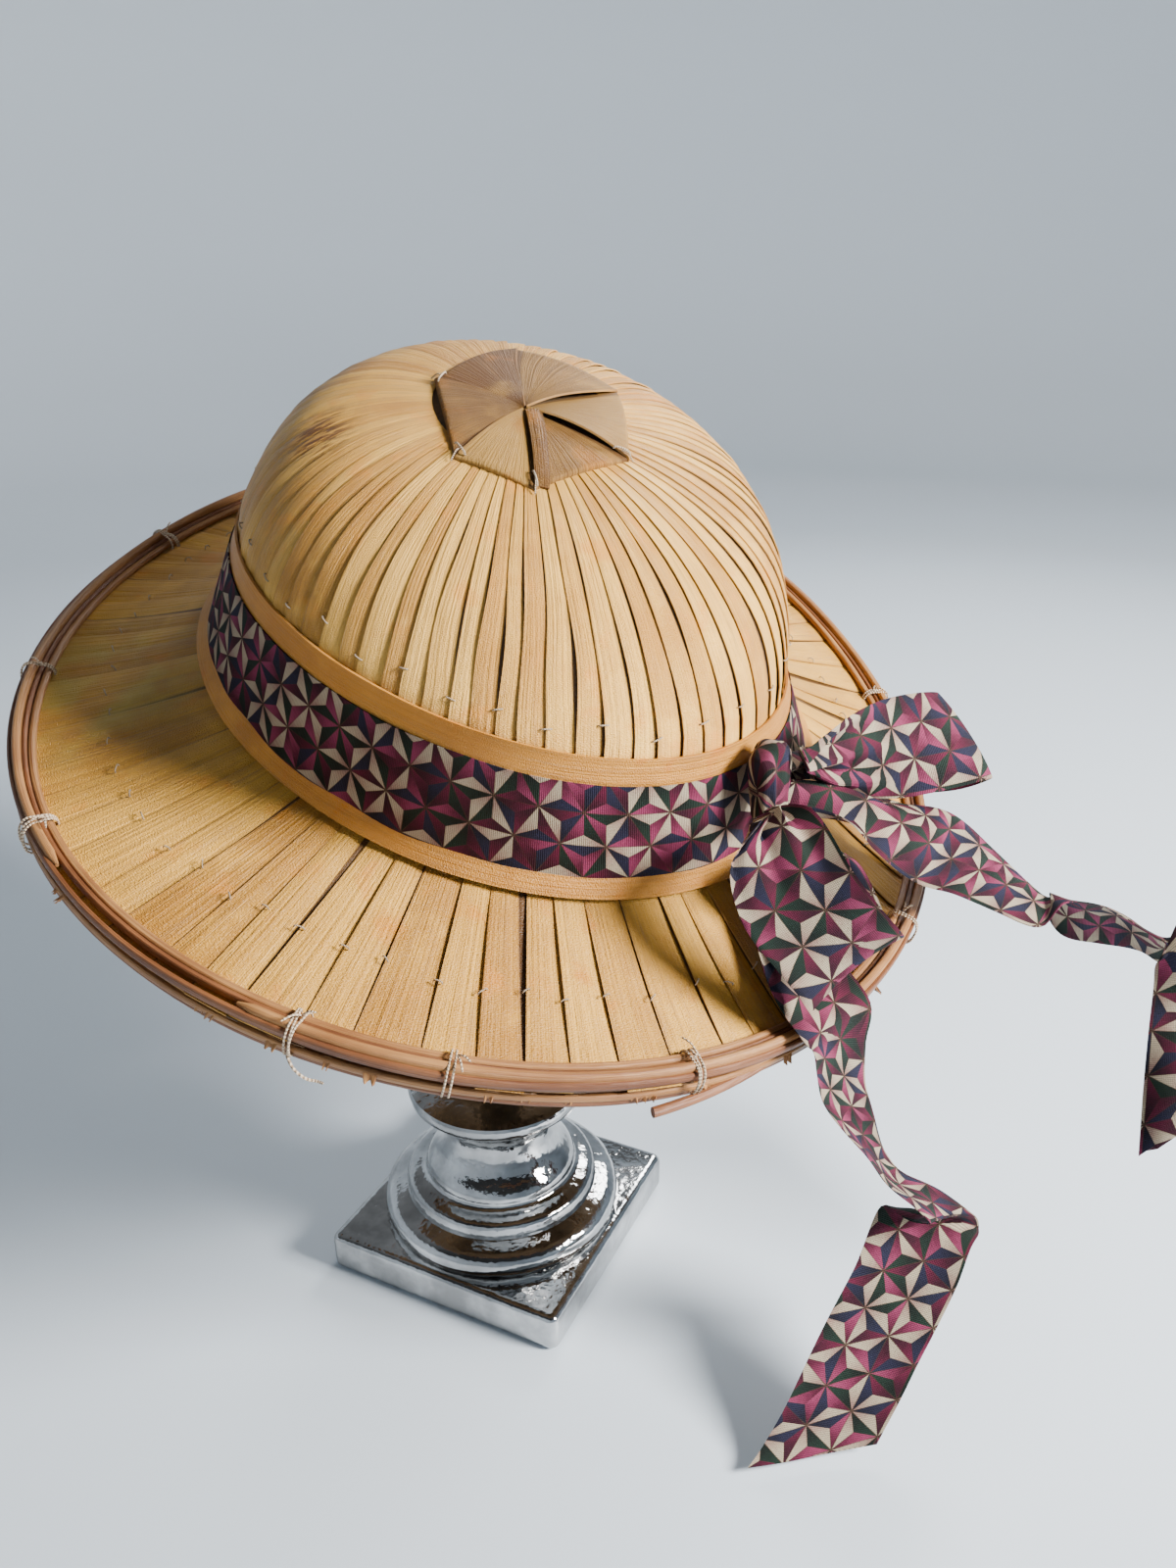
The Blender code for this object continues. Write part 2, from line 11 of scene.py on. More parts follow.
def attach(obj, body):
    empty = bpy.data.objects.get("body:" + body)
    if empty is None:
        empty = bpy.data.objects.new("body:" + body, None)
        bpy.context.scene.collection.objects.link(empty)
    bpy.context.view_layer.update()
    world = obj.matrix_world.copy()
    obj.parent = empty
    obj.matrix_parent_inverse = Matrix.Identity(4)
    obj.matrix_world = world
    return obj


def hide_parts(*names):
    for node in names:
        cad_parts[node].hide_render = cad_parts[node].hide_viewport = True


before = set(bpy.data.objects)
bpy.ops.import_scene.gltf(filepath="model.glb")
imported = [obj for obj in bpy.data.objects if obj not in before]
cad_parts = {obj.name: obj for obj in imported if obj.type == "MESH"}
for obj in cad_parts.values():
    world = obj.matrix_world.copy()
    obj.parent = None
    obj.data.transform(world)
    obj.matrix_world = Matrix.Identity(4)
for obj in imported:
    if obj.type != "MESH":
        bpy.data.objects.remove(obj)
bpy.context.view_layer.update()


# The camera stands a little above the brim and looks down at the hat from the front. The floor is a wide
# pale bowl. The key light is a soft one on the right, a weaker one shines from behind, and the room is
# darker towards the viewer, which is what the silver of the stand shows.

camera = bpy.data.objects.new("camera", bpy.data.cameras.new("camera"))
bpy.context.scene.collection.objects.link(camera)
camera.data.sensor_fit = "VERTICAL"
camera.data.sensor_height = 36
camera.data.lens = 27.68
camera.data.clip_start = 0.01
camera_right = Vector((0.9999, -0.0051, -0.0119))
camera_up = Vector((0.0130, 0.3950, 0.9186))
camera_back = camera_right.cross(camera_up)
camera_axes = Matrix((camera_right, camera_up, camera_back)).transposed()
camera.matrix_world = Matrix.Translation((0.0386, -0.4045, 0.3798)) @ camera_axes.to_4x4()
bpy.context.scene.camera = camera


def turned(outline, cuts):
    """A bmesh spun round the upright axis from a line of radius and height, each part of it cut up."""
    work = bmesh.new()
    ends = [work.verts.new((radius, 0, height)) for radius, height in outline]
    line = [work.edges.new(pair) for pair in zip(ends, ends[1:])]
    if cuts:
        bmesh.ops.subdivide_edges(work, edges=line, cuts=cuts, smooth=0.0)
    bmesh.ops.spin(
        work,
        geom=work.verts[:] + work.edges[:],
        axis=(0, 0, 1),
        cent=(0, 0, 0),
        angle=math.tau,
        steps=96,
        use_merge=True,
    )
    bmesh.ops.remove_doubles(work, verts=work.verts, dist=1e-6)
    return work


# Radius and height, in metres
FLOOR = ((0, 0), (1.5, 0), (1.85, 0.04), (2.1, 0.16), (2.25, 0.40), (2.3, 0.75), (2.3, 1.5))
floor_mesh = turned(FLOOR, 0)
floor_data = bpy.data.meshes.new("floor")
floor_mesh.to_mesh(floor_data)
floor_mesh.free()
floor_data.shade_smooth()
floor = bpy.data.objects.new("floor", floor_data)
bpy.context.scene.collection.objects.link(floor)
floor_paint = bpy.data.materials.new("pale floor")
floor_paint.use_nodes = True
floor_shader = floor_paint.node_tree.nodes["Principled BSDF"]
floor_shader.inputs["Base Color"].default_value = (0.60, 0.665, 0.73, 1)
floor_shader.inputs["Roughness"].default_value = 0.55
floor_data.materials.append(floor_paint)


def soft_light(name, place, target, size, power, colour):
    data = bpy.data.lights.new(name, "AREA")
    data.shape = "DISK"
    data.size = size
    data.energy = power
    data.color = colour
    lamp = bpy.data.objects.new(name, data)
    bpy.context.scene.collection.objects.link(lamp)
    aim = (Vector(target) - Vector(place)).to_track_quat("-Z", "Y")
    lamp.matrix_world = Matrix.Translation(place) @ aim.to_matrix().to_4x4()


soft_light("key light", (1.18, -0.44, 0.80), (0.05, 0.00, 0.24), 0.46, 84, (1.0, 0.985, 0.96))
soft_light("back light", (0.50, 1.05, 1.00), (0.05, 0.05, 0.25), 0.45, 11, (0.97, 0.99, 1.0))

room = bpy.data.worlds.new("room")
bpy.context.scene.world = room
room.use_nodes = True
room_nodes = room.node_tree.nodes
room_glow = room_nodes["Background"]
room_way = room_nodes.new("ShaderNodeTexCoord")
room_parts = room_nodes.new("ShaderNodeSeparateXYZ")
room_ramp = room_nodes.new("ShaderNodeValToRGB")
room_ramp.color_ramp.elements[0].position = 0.30
room_ramp.color_ramp.elements[0].color = (0.16, 0.17, 0.18, 1)
room_ramp.color_ramp.elements[1].position = 0.62
room_ramp.color_ramp.elements[1].color = (0.72, 0.77, 0.82, 1)
room_spread = room_nodes.new("ShaderNodeMapRange")
room_spread.inputs["From Min"].default_value = -1
room_spread.inputs["From Max"].default_value = 1
room.node_tree.links.new(room_way.outputs["Generated"], room_parts.inputs[0])
room.node_tree.links.new(room_parts.outputs["Y"], room_spread.inputs["Value"])
room.node_tree.links.new(room_spread.outputs["Result"], room_ramp.inputs["Fac"])
room.node_tree.links.new(room_ramp.outputs["Color"], room_glow.inputs["Color"])
room_glow.inputs["Strength"].default_value = 0.31


# The stand is a turned ceramic pedestal on a square plinth, silvered all over. The silver is bright but
# thin, with cloudy patches and faint ripples left by the brush.

class Wire:
    """One output of a material's node. Sums written with wires add Math nodes to that material."""

    def __init__(self, paint, socket):
        self.paint = paint
        self.socket = socket

    def __add__(self, other):
        return self.paint.sum("ADD", self, other)

    def __sub__(self, other):
        return self.paint.sum("SUBTRACT", self, other)

    def __rsub__(self, other):
        return self.paint.sum("SUBTRACT", other, self)

    def __mul__(self, other):
        return self.paint.sum("MULTIPLY", self, other)

    def __truediv__(self, other):
        return self.paint.sum("DIVIDE", self, other)

    def __lt__(self, other):
        return self.paint.sum("LESS_THAN", self, other)

    def __gt__(self, other):
        return self.paint.sum("GREATER_THAN", self, other)

    __radd__ = __add__


class Paint:
    """A material with its own node tree. make() adds any node and gives the output that is asked for."""

    def __init__(self, name, roughness, metallic=0.0):
        self.material = bpy.data.materials.new(name)
        self.material.use_nodes = True
        self.tree = self.material.node_tree
        self.shader = self.tree.nodes["Principled BSDF"]
        self.shader.inputs["Roughness"].default_value = roughness
        self.shader.inputs["Metallic"].default_value = metallic

    def plug(self, value, socket):
        if isinstance(value, Wire):
            self.tree.links.new(value.socket, socket)
        else:
            socket.default_value = value

    def make(self, kind, out, settings, *values, **named):
        node = self.tree.nodes.new(kind)
        for name, setting in settings.items():
            setattr(node, name, setting)
        for number, value in enumerate(values):
            self.plug(value, node.inputs[number])
        for name, value in named.items():
            self.plug(value, node.inputs[name.replace("_", " ")])
        return Wire(self, node.outputs[out])

    def sum(self, operation, *values):
        return self.make("ShaderNodeMath", 0, {"operation": operation}, *values)

    def clamp(self, value):
        return self.make("ShaderNodeClamp", 0, {}, value)

    def fade(self, value, low, high):
        """0 where the value is under low, 1 over high, and a soft step between."""
        return self.make("ShaderNodeMapRange", 0, {"interpolation_type": "SMOOTHSTEP"}, value, low, high)

    def mix(self, share, one, other):
        node = self.make("ShaderNodeMix", "Result", {"data_type": "RGBA"}).socket.node
        self.plug(share, node.inputs["Factor"])
        for value, socket in ((one, node.inputs[6]), (other, node.inputs[7])):
            if not isinstance(value, Wire) and len(value) == 3:
                value = (*value, 1)
            self.plug(value, socket)
        return Wire(self, node.outputs[2])

    def spot(self):
        return self.make("ShaderNodeTexCoord", "Object", {})

    def weave(self):
        """The piece's own UV map, in metres across and along the leaf, cane or ribbon."""
        return self.make("ShaderNodeUVMap", 0, {"uv_map": "weave"})

    def part(self, vector, axis):
        return self.make("ShaderNodeSeparateXYZ", axis, {}, vector)

    def stretch(self, vector, scale, place=(0, 0, 0)):
        return self.make("ShaderNodeMapping", 0, {}, vector, Location=place, Scale=scale)

    def cloud(self, vector, scale, detail, rough=0.5):
        kind = "ShaderNodeTexNoise"
        return self.make(kind, "Fac", {}, vector, Scale=scale, Detail=detail, Roughness=rough)

    def distance(self, place, scale=(1, 1, 1)):
        """The length of a point of the piece, scaled and then moved by place."""
        way = self.stretch(self.spot(), scale, place)
        return self.make("ShaderNodeVectorMath", "Value", {"operation": "LENGTH"}, way)

    def shine(self, level):
        self.shader.inputs["Specular IOR Level"].default_value = level

    def attribute(self, name):
        return self.make("ShaderNodeAttribute", "Fac", {"attribute_name": name})

    def colour(self, value):
        self.plug(value, self.shader.inputs["Base Color"])

    def rough(self, value):
        self.plug(value, self.shader.inputs["Roughness"])

    def bump(self, height, depth):
        relief = self.make("ShaderNodeBump", 0, {}, Distance=depth, Height=height)
        self.plug(relief, self.shader.inputs["Normal"])


silver = Paint("silvered ceramic", 0.08, 1.0)
silver_spot = silver.spot()
silver_cloud = silver.cloud(silver_spot, 38, 4, 0.6)
silver_pits = silver.cloud(silver_spot, 260, 3, 0.7)
silver.colour(silver.mix(silver.fade(silver_cloud, 0.35, 0.7), (0.30, 0.298, 0.295), (0.60, 0.597, 0.593)))
silver.rough(0.06 + silver.fade(silver_cloud, 0.45, 0.8) * 0.10 + silver.fade(silver_pits, 0.6, 0.8) * 0.12)
silver.bump(silver_cloud + silver_pits * 0.10, 0.0012)

PLINTH_SIDE = 0.104
PLINTH_HEIGHT = 0.0165
PLINTH_TURN = math.radians(-26.3)

# Radius and height up the column, in millimetres
COLUMN = (
    (46.0, 16.2), (47.8, 17.0), (49.0, 20.5), (48.4, 23.6), (46.0, 26.0),
    (42.0, 27.2), (39.6, 28.0), (39.4, 31.2), (38.4, 33.6), (35.6, 34.8),
    (32.2, 35.4), (30.8, 36.6), (30.6, 39.6), (29.0, 42.0), (25.6, 45.4),
    (23.4, 49.0), (21.9, 53.0), (21.6, 57.0), (22.6, 61.0), (25.2, 65.2),
    (29.4, 69.2), (33.8, 71.6), (35.6, 73.4), (36.2, 76.2), (35.4, 78.0),
    (32.0, 78.9), (19.0, 80.4), (14.5, 85.0), (13.0, 90.0), (13.0, 292.0),
    (18.0, 298.0), (27.0, 306.0), (32.5, 312.0), (34.0, 315.6), (32.0, 319.4),
    (24.0, 325.6), (12.5, 329.7), (0.0, 331.2),
)

plinth = bmesh.new()
bmesh.ops.create_cube(plinth, size=1)
bmesh.ops.scale(plinth, vec=(PLINTH_SIDE, PLINTH_SIDE, PLINTH_HEIGHT), verts=plinth.verts)
bmesh.ops.translate(plinth, vec=(0, 0, PLINTH_HEIGHT / 2), verts=plinth.verts)
for upright, rounding in ((True, 0.0040), (False, 0.0032)):
    edges = []
    for edge in plinth.edges:
        rise = abs(edge.verts[0].co.z - edge.verts[1].co.z)
        if (rise > 0.001) == upright:
            edges.append(edge)
    bmesh.ops.bevel(
        plinth, geom=edges, offset=rounding, segments=5, profile=0.5, affect="EDGES", material=-1
    )
bmesh.ops.rotate(plinth, matrix=Matrix.Rotation(PLINTH_TURN, 3, "Z"), verts=plinth.verts)

column = turned([(radius / 1000, height / 1000) for radius, height in COLUMN], 1)
open_foot = [edge for edge in column.edges if edge.is_boundary]
bmesh.ops.holes_fill(column, edges=open_foot)
bmesh.ops.recalc_face_normals(column, faces=column.faces)


def piece_from(name, mesh_work, paint, stands_for, wall=0.0):
    """An object from a bmesh, in place, that rides on the one body. A wall's thickness grows inwards."""
    if wall:
        bmesh.ops.solidify(mesh_work, geom=mesh_work.faces[:], thickness=wall)
    mesh = bpy.data.meshes.new(name)
    mesh_work.to_mesh(mesh)
    mesh_work.free()
    mesh.materials.append(paint.material)
    mesh.shade_smooth()
    mesh.set_sharp_from_angle(angle=math.radians(50))
    piece = bpy.data.objects.new(name, mesh)
    bpy.context.scene.collection.objects.link(piece)
    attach(piece, "root")
    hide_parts(*stands_for)
    return piece


piece_from("plinth", plinth, silver, ["stand"])
piece_from("column", column, silver, ["stand"])


# The crown is a dome of long palm-leaf strips that start under the cap and run down to the band. Each
# lies over the edge of the one before it, and a thin plain lining holds them from inside.

HAT_PLACE = Vector((0.0073, 0.0389, 0.2224))
hat_up = Vector((math.tan(math.radians(12.7)), -math.tan(math.radians(17.9)), 1)).normalized()
hat_right = (Vector((1, 0, 0)) - hat_up * hat_up.x).normalized()
hat_axes = Matrix((hat_right, hat_up.cross(hat_right), hat_up)).transposed()
HAT = Matrix.Translation(HAT_PLACE) @ hat_axes.to_4x4()

CROWN_RADIUS = 0.0921
CROWN_HEIGHT = 0.1204
CROWN_FOOT = 0.0140
WAIST = 0.0642
ROUNDNESS = 2.34
WALL_SLOPE = 0.3645
CAP_SPOT = Vector((-0.070, -0.172))
CROWN_STRIPS = 74
CROWN_MIDDLE = Vector((0, 0, 0.03))
LEAF = 0.0004
# The share of a strip's width that the next strip covers, and of its length that lies on the dome
OVERLAP = 0.22
ON_DOME = 0.86
# How far a strip's free edge and its middle stand up
FREE_EDGE = 0.0013
BULGE = 0.0007
LINING = 0.0008


def spoke(angle):
    return Vector((math.cos(angle), math.sin(angle)))


def drift_round(angle, reach, height):
    """Smooth chance, -1 to 1, that closes on itself round the hat. More reach makes it change sooner."""
    return noise.noise(Vector((math.cos(angle) * reach, math.sin(angle) * reach, height)))


def crown_ring(radius, angle, height, dome=0.0):
    """A point of the crown. Above the waist, dome runs from 0 to 1 at the top and the oval turns round."""
    long_way = 0.0182 * math.cos(2 * angle) - 0.0609 * math.sin(2 * angle)
    reach = radius * (1 + long_way * (1 - dome))
    flat = spoke(angle) * reach
    rise = min((height - CROWN_FOOT) / (WAIST - CROWN_FOOT), 1)
    tilt = -0.0568 * flat.x - 0.0497 * flat.y
    flat += Vector((-0.0055, -0.0129)) * rise + Vector((0.0041, 0.0417)) * dome
    return Vector((flat.x, flat.y, height + tilt * rise))


def wall_radius(height):
    return CROWN_RADIUS + WALL_SLOPE * (WAIST - height)


def dome_point(spot, over):
    """A point on the dome from its place in a unit disc: the middle is the top, the edge the waist."""
    turn = min(spot.length, 1) * math.pi / 2
    dome = max(math.cos(turn), 0) ** (2 / ROUNDNESS)
    radius = CROWN_RADIUS * math.sin(turn) ** (2 / ROUNDNESS)
    height = WAIST + (CROWN_HEIGHT - WAIST) * dome
    return crown_ring(radius + over * (1 - dome), math.atan2(spot.y, spot.x), height + over * dome, dome)


def face_away(work, faces, inside):
    """Turns faces round when, taken together, they look towards a point."""
    faces = list(faces)
    for face in faces:
        face.normal_update()
    if sum((face.calc_center_median() - inside).dot(face.normal) * face.calc_area() for face in faces) < 0:
        bmesh.ops.reverse_faces(work, faces=faces)


def lay(work, rows, columns, place, shade, inside=None):
    """Adds a sheet of quads. place(down, across) gives a point and its spot in the leaf, in metres.
    Its outer side looks away from the point inside."""
    maps = work.loops.layers.uv
    marks = work.verts.layers.float
    weave = maps.get("weave") or maps.new("weave")
    tone = marks.get("tone") or marks.new("tone")
    edge = marks.get("edge") or marks.new("edge")
    made = bmesh.ops.create_grid(work, x_segments=columns, y_segments=rows, size=1)["verts"]
    spots = {}
    for vertex in made:
        vertex[tone] = shade
        vertex[edge] = (vertex.co.x + 1) / 2
        vertex.co, spots[vertex] = place((vertex.co.y + 1) / 2, (vertex.co.x + 1) / 2)
    faces = {face for vertex in made for face in vertex.link_faces}
    for face in faces:
        for loop in face.loops:
            loop[weave].uv = spots[loop.vert]
    if inside:
        face_away(work, faces, inside)
    return made


def ring_piece(name, rows, columns, place, inside, paint, stands_for, wall):
    """A piece of the hat from one sheet that goes all the way round."""
    work = bmesh.new()
    lay(work, rows, columns, place, 0.5)
    bmesh.ops.remove_doubles(work, verts=work.verts, dist=1e-6)
    face_away(work, work.faces, inside)
    work.transform(HAT)
    return piece_from(name, work, paint, stands_for, wall)


def leaf_paint(name, pale, deep, roughness, seam_shade=0.0, spread=0.30, covered_from=0.805):
    """Dried palm leaf: fibres along the strip with fine veins across them, in cloudy patches of gold,
    orange and faded straw. Strips that overlap get painted shade where the next one covers them."""
    leaf = Paint(name, roughness)
    spot = leaf.spot()
    weave = leaf.weave()
    tone = leaf.attribute("tone")
    fibre = leaf.cloud(leaf.stretch(weave, (4200, 60, 1)), 1.0, 3, 0.6)
    ribs = leaf.cloud(leaf.stretch(weave, (1100, 10, 1)), 1.0, 2, 0.5)
    veins = leaf.cloud(leaf.stretch(weave, (1500, 2600, 1)), 1.0, 1, 0.5)
    streak = leaf.cloud(leaf.stretch(weave, (520, 28, 1)), 1.0, 4, 0.65)
    patch = leaf.cloud(spot, 30, 4, 0.6)
    bright = leaf.cloud(leaf.stretch(spot, (1, 1, 1), (3, 1, 7)), 52, 3, 0.6)
    rust = leaf.cloud(leaf.stretch(spot, (1, 1, 1), (9, 4, 2)), 75, 3, 0.55)
    depth = tone * spread + patch * 0.65 + ribs * 0.35
    base = leaf.mix(leaf.fade(depth, 0.38, 0.76 + spread / 2), pale, deep)
    fresh = tuple(min(part * 1.2, 1) for part in pale)
    base = leaf.mix(leaf.fade(bright, 0.52, 0.75) * 0.45, base, fresh)
    orange = (pale[0] * 0.86, pale[1] * 0.56, pale[2] * 0.26)
    base = leaf.mix(leaf.fade(rust, 0.56, 0.74) * 0.60, base, orange)
    base = leaf.mix(leaf.fade(streak, 0.52, 0.76) * 0.55, base, (0.33, 0.17, 0.055))
    base = leaf.mix(leaf.fade(fibre, 0.45, 0.75) * 0.32, base, (0.36, 0.19, 0.06))
    base = leaf.mix(leaf.fade(veins, 0.50, 0.75) * 0.22, base, fresh)
    if seam_shade:
        across = leaf.attribute("edge")
        # Painted shade: a dark line on each strip just before the edge of the next strip that lies over it
        covered_shade = leaf.fade(across + streak * 0.03, covered_from - 0.01, covered_from + 0.025)
        rim = 1 - leaf.fade(across + fibre * 0.02, 0.015, 0.045)
        base = leaf.mix(covered_shade * seam_shade, base, (0.075, 0.032, 0.010))
        base = leaf.mix(rim * 0.45, base, (0.30, 0.15, 0.05))
    leaf.leaf_base = base
    leaf.colour(base)
    leaf.shine(0.38)
    leaf.rough(roughness - 0.14 + patch * 0.12 + veins * 0.20)
    leaf.bump(fibre * 0.5 + ribs * 1.1 + veins * 0.8, 0.0006)
    return leaf


crown_leaf = leaf_paint("crown leaf", (0.84, 0.47, 0.090), (0.48, 0.21, 0.028), 0.36, 0.93, 0.34)

# A brown scorch on the left of the dome, drawn out along the strips
scorch_near = crown_leaf.distance((0.0446, 0.0089, -0.3311))
scorch_streak = crown_leaf.cloud(crown_leaf.stretch(crown_leaf.weave(), (700, 60, 1)), 1.0, 4, 0.7)
scorch = (1 - crown_leaf.fade(scorch_near, 0.004, 0.018)) * crown_leaf.fade(scorch_streak, 0.44, 0.56)
crown_leaf.colour(crown_leaf.mix(scorch * 0.9, crown_leaf.leaf_base, (0.085, 0.024, 0.009)))

strip_luck = random.Random(7)


def strip_edges(count, narrow, wide):
    """The way round of each strip's left edge, for strips from narrow to wide."""
    edges = [0.0]
    for _ in range(count):
        edges.append(edges[-1] + strip_luck.uniform(narrow, wide))
    return [edge * math.tau / edges[-1] for edge in edges]


def strip_lift(across, bend):
    """How far a strip stands off the dome: its left edge rides over the strip before it."""
    return FREE_EDGE * bend * max(1 - across, 0) ** 2.2 + BULGE * math.sin(math.pi * min(across, 1))


crown_edges = strip_edges(CROWN_STRIPS, 0.78, 1.22)
crown_work = bmesh.new()
for number in range(CROWN_STRIPS):
    left = crown_edges[number]
    right = crown_edges[number + 1]
    under = (right - left) * OVERLAP
    bends = [strip_luck.uniform(0.55, 1.25) for _ in range(6)]
    wander = strip_luck.uniform(-0.011, 0.011)

    def on_strip(down, across):
        share = across * (1 + OVERLAP)
        angle = left + (right - left + under) * across
        bend, part = divmod(down * 4.99, 1)
        ripple = bends[int(bend)] * (1 - part) + bends[int(bend) + 1] * part
        over = 0.0004 + strip_lift(share, ripple)
        if down > ON_DOME:
            height = WAIST - (down - ON_DOME) / (1 - ON_DOME) * 0.012
            point = crown_ring(wall_radius(height) + over * 0.8, angle, height)
        else:
            out = 0.20 + 0.80 * down / ON_DOME
            angle += wander * math.sin(math.pi * down) * math.sin(9 * down + number)
            spot = spoke(angle) * out + CAP_SPOT * (1 - out**2)
            point = dome_point(spot, over * min(1, out * 1.6))
        return point, (across * (right - left) * 0.10 + number * 0.031, down * 0.15)

    lay(crown_work, 22, 5, on_strip, strip_luck.random(), CROWN_MIDDLE)
crown_work.transform(HAT)
piece_from("crown_strips", crown_work, crown_leaf, ["crown"], LEAF)

lining_leaf = leaf_paint("lining leaf", (0.17, 0.10, 0.045), (0.10, 0.055, 0.025), 0.6)


def on_lining(down, across):
    angle = math.tau * across
    on_dome = 0.8
    if down > on_dome:
        height = WAIST - (down - on_dome) / (1 - on_dome) * (WAIST - CROWN_FOOT)
        point = crown_ring(wall_radius(height) - 0.0003, angle, height)
    else:
        point = dome_point(spoke(angle) * (down / on_dome), -0.0003)
    return point, (across * 0.6, down * 0.15)


ring_piece("crown_lining", 20, 120, on_lining, CROWN_MIDDLE, lining_leaf, ["crown"], LINING)


# The cap is a six-sided rosette of leaf folded over at its rim, sewn to the top of the crown. Each fold
# is a triangle that lies over the next one round, clockwise.

CAP_RADIUS = 0.0390
CAP_LEAF = 0.0007
# The share of a fold's length at which its rim starts to roll under
FOLD_RIM = 0.86
# Each corner: the way it points in degrees, and its distance as a share of the cap's radius
CAP_CORNERS = ((-20, 0.95), (46, 1.05), (94, 1.20), (157, 0.85), (233, 1.00), (277, 1.05))
# Each fold from one corner to the next: how deep its tone is, and how far its clockwise side stands up
CAP_FOLDS = ((0.22, 1.00), (0.42, 0.80), (1.00, 0.60), (0.62, 0.35), (0.00, 0.30), (0.60, 0.30))
# Each fold gets painted shade along its far edge, where the next fold lies over it
cap_leaf = leaf_paint("folded leaf", (0.36, 0.20, 0.048), (0.095, 0.040, 0.012), 0.44, 0.8, 0.8, 0.93)
cap_leaf.shine(0.12)


def cap_corner(number):
    turn, reach = CAP_CORNERS[number % 6]
    return spoke(math.radians(turn)) * (reach * CAP_RADIUS)


def cap_point(flat, over):
    return dome_point(CAP_SPOT + flat / (CROWN_RADIUS * 1.77), over)


cap_work = bmesh.new()
for fold, (depth, standing) in enumerate(CAP_FOLDS):
    start = cap_corner(fold)
    end = cap_corner(fold + 1)

    def on_fold(down, across):
        """The rim rolls down and back under."""
        out = min(down / FOLD_RIM, 1)
        roll = max(down - FOLD_RIM, 0) / (1 - FOLD_RIM)
        flat = start.lerp(end, across) * (0.02 + 0.98 * out)
        bulge = 0.0010 * math.sin(math.pi * across) * out
        lean = 0.0021 * (1 - across) ** 1.3 * math.sin(math.pi * min(out * 0.9 + 0.12, 1)) * standing
        over = 0.0014 + 0.0004 * (1 - across) + bulge + lean - 0.0026 * (1 - math.cos(roll * math.pi)) / 2
        lip = 0.0005 * standing * math.exp(-((across / 0.04) ** 2)) * out
        flat += flat.normalized() * (0.0010 * math.sin(roll * math.pi))
        return cap_point(flat, over + lip), (across * 0.04 + fold * 0.1, out * 0.036)

    lay(cap_work, 22, 16, on_fold, depth, CROWN_MIDDLE)

# The last fold's end is tucked back as a narrow strip
tuck_way = cap_corner(5)
tuck_side = Vector((-tuck_way.y, tuck_way.x)).normalized() * 0.0052


def on_tuck(down, across):
    flat = tuck_way * (0.06 + 0.93 * down) + tuck_side * across
    over = 0.0028 + 0.0005 * math.sin(math.pi * across) + 0.0004 * math.sin(math.pi * down)
    return cap_point(flat, over - 0.0016 * max(down - 0.93, 0) / 0.07), (across * 0.005 + 0.7, down * 0.036)


lay(cap_work, 14, 4, on_tuck, 0.8, CROWN_MIDDLE)
cap_work.transform(HAT)
cap_nodes = [f"cap_fold_{fold + 1}" for fold in range(6)]
piece_from("cap_folds", cap_work, cap_leaf, cap_nodes, CAP_LEAF)


# The band is one smooth strip of leaf wrapped round the foot of the crown, and it shows above and below
# the ribbon. Its lower edge turns out over the brim.

band_leaf = leaf_paint("band leaf", (0.62, 0.27, 0.034), (0.40, 0.15, 0.018), 0.38)
BAND_TOP = WAIST
BAND_LOW = 0.0165
BAND_LEAF = 0.0008


def band_radius(height):
    return wall_radius(height) + 0.0018


def on_band(down, across):
    angle = math.tau * across
    height = BAND_TOP + (BAND_LOW - BAND_TOP) * down
    wave = 0.0003 * drift_round(angle, 3, down * 2)
    flare = 0.0034 * max(down - 0.86, 0) / 0.14
    lip = 0.0005 * math.exp(-((down / 0.03) ** 2))
    return crown_ring(band_radius(height) + wave + flare + lip, angle, height), (down * 0.05, across * 0.66)


ring_piece("band_of_leaf", 20, 160, on_band, CROWN_MIDDLE, band_leaf, ["leaf_band"], BAND_LEAF)


# The brim is a ring of shorter leaf strips, laid the same way as the crown's. They come out from under
# the band, and their cut ends pass between the hoops at the rim.

BRIM_STRIPS = 68
RIM_RADIUS = 0.168
BRIM_LINING = 0.0006
brim_leaf = leaf_paint("brim leaf", (0.66, 0.345, 0.050), (0.36, 0.155, 0.018), 0.38, 0.93)

# A greenish yellow patch at the left, where the leaf was still fresh when it was cut
green_near = brim_leaf.distance((0.1356, -0.0038, -0.151), (1, 1, 0.6))
green_cloud = brim_leaf.cloud(brim_leaf.spot(), 50, 2)
green = (1 - brim_leaf.fade(green_near, 0.015, 0.055)) * brim_leaf.fade(green_cloud, 0.35, 0.65)
marked = brim_leaf.mix(green * 0.6, brim_leaf.leaf_base, (0.47, 0.36, 0.07))
# Three orange blotches at the front, and a small hole at the left that is only a dark spot of painted
# shade:
# the way round in degrees, the distance out, the size and the colour
for facing, out, size, tint in (
    (256.9, 0.134, 0.0110, (0.56, 0.20, 0.008)),
    (266.6, 0.123, 0.0090, (0.56, 0.20, 0.008)),
    (281.5, 0.141, 0.0070, (0.50, 0.17, 0.008)),
    (208.6, 0.1636, 0.0022, (0.02, 0.01, 0.005)),
):
    angle = math.radians(facing)
    mark = HAT @ Vector((math.cos(angle) * out, math.sin(angle) * out, 0.004))
    mark_near = brim_leaf.distance((-mark.x, -mark.y, -mark.z * 0.4), (1, 1, 0.4))
    ragged_edge = brim_leaf.cloud(brim_leaf.spot(), 260, 3) * size * 0.9
    inside = 1 - brim_leaf.fade(mark_near + ragged_edge, size * 0.55, size * 1.2)
    marked = brim_leaf.mix(inside * 0.8, marked, tint)
brim_leaf.colour(marked)


def rim_radius(angle):
    return RIM_RADIUS * (1 - 0.0154 * math.cos(2 * angle) + 0.0137 * math.sin(2 * angle))


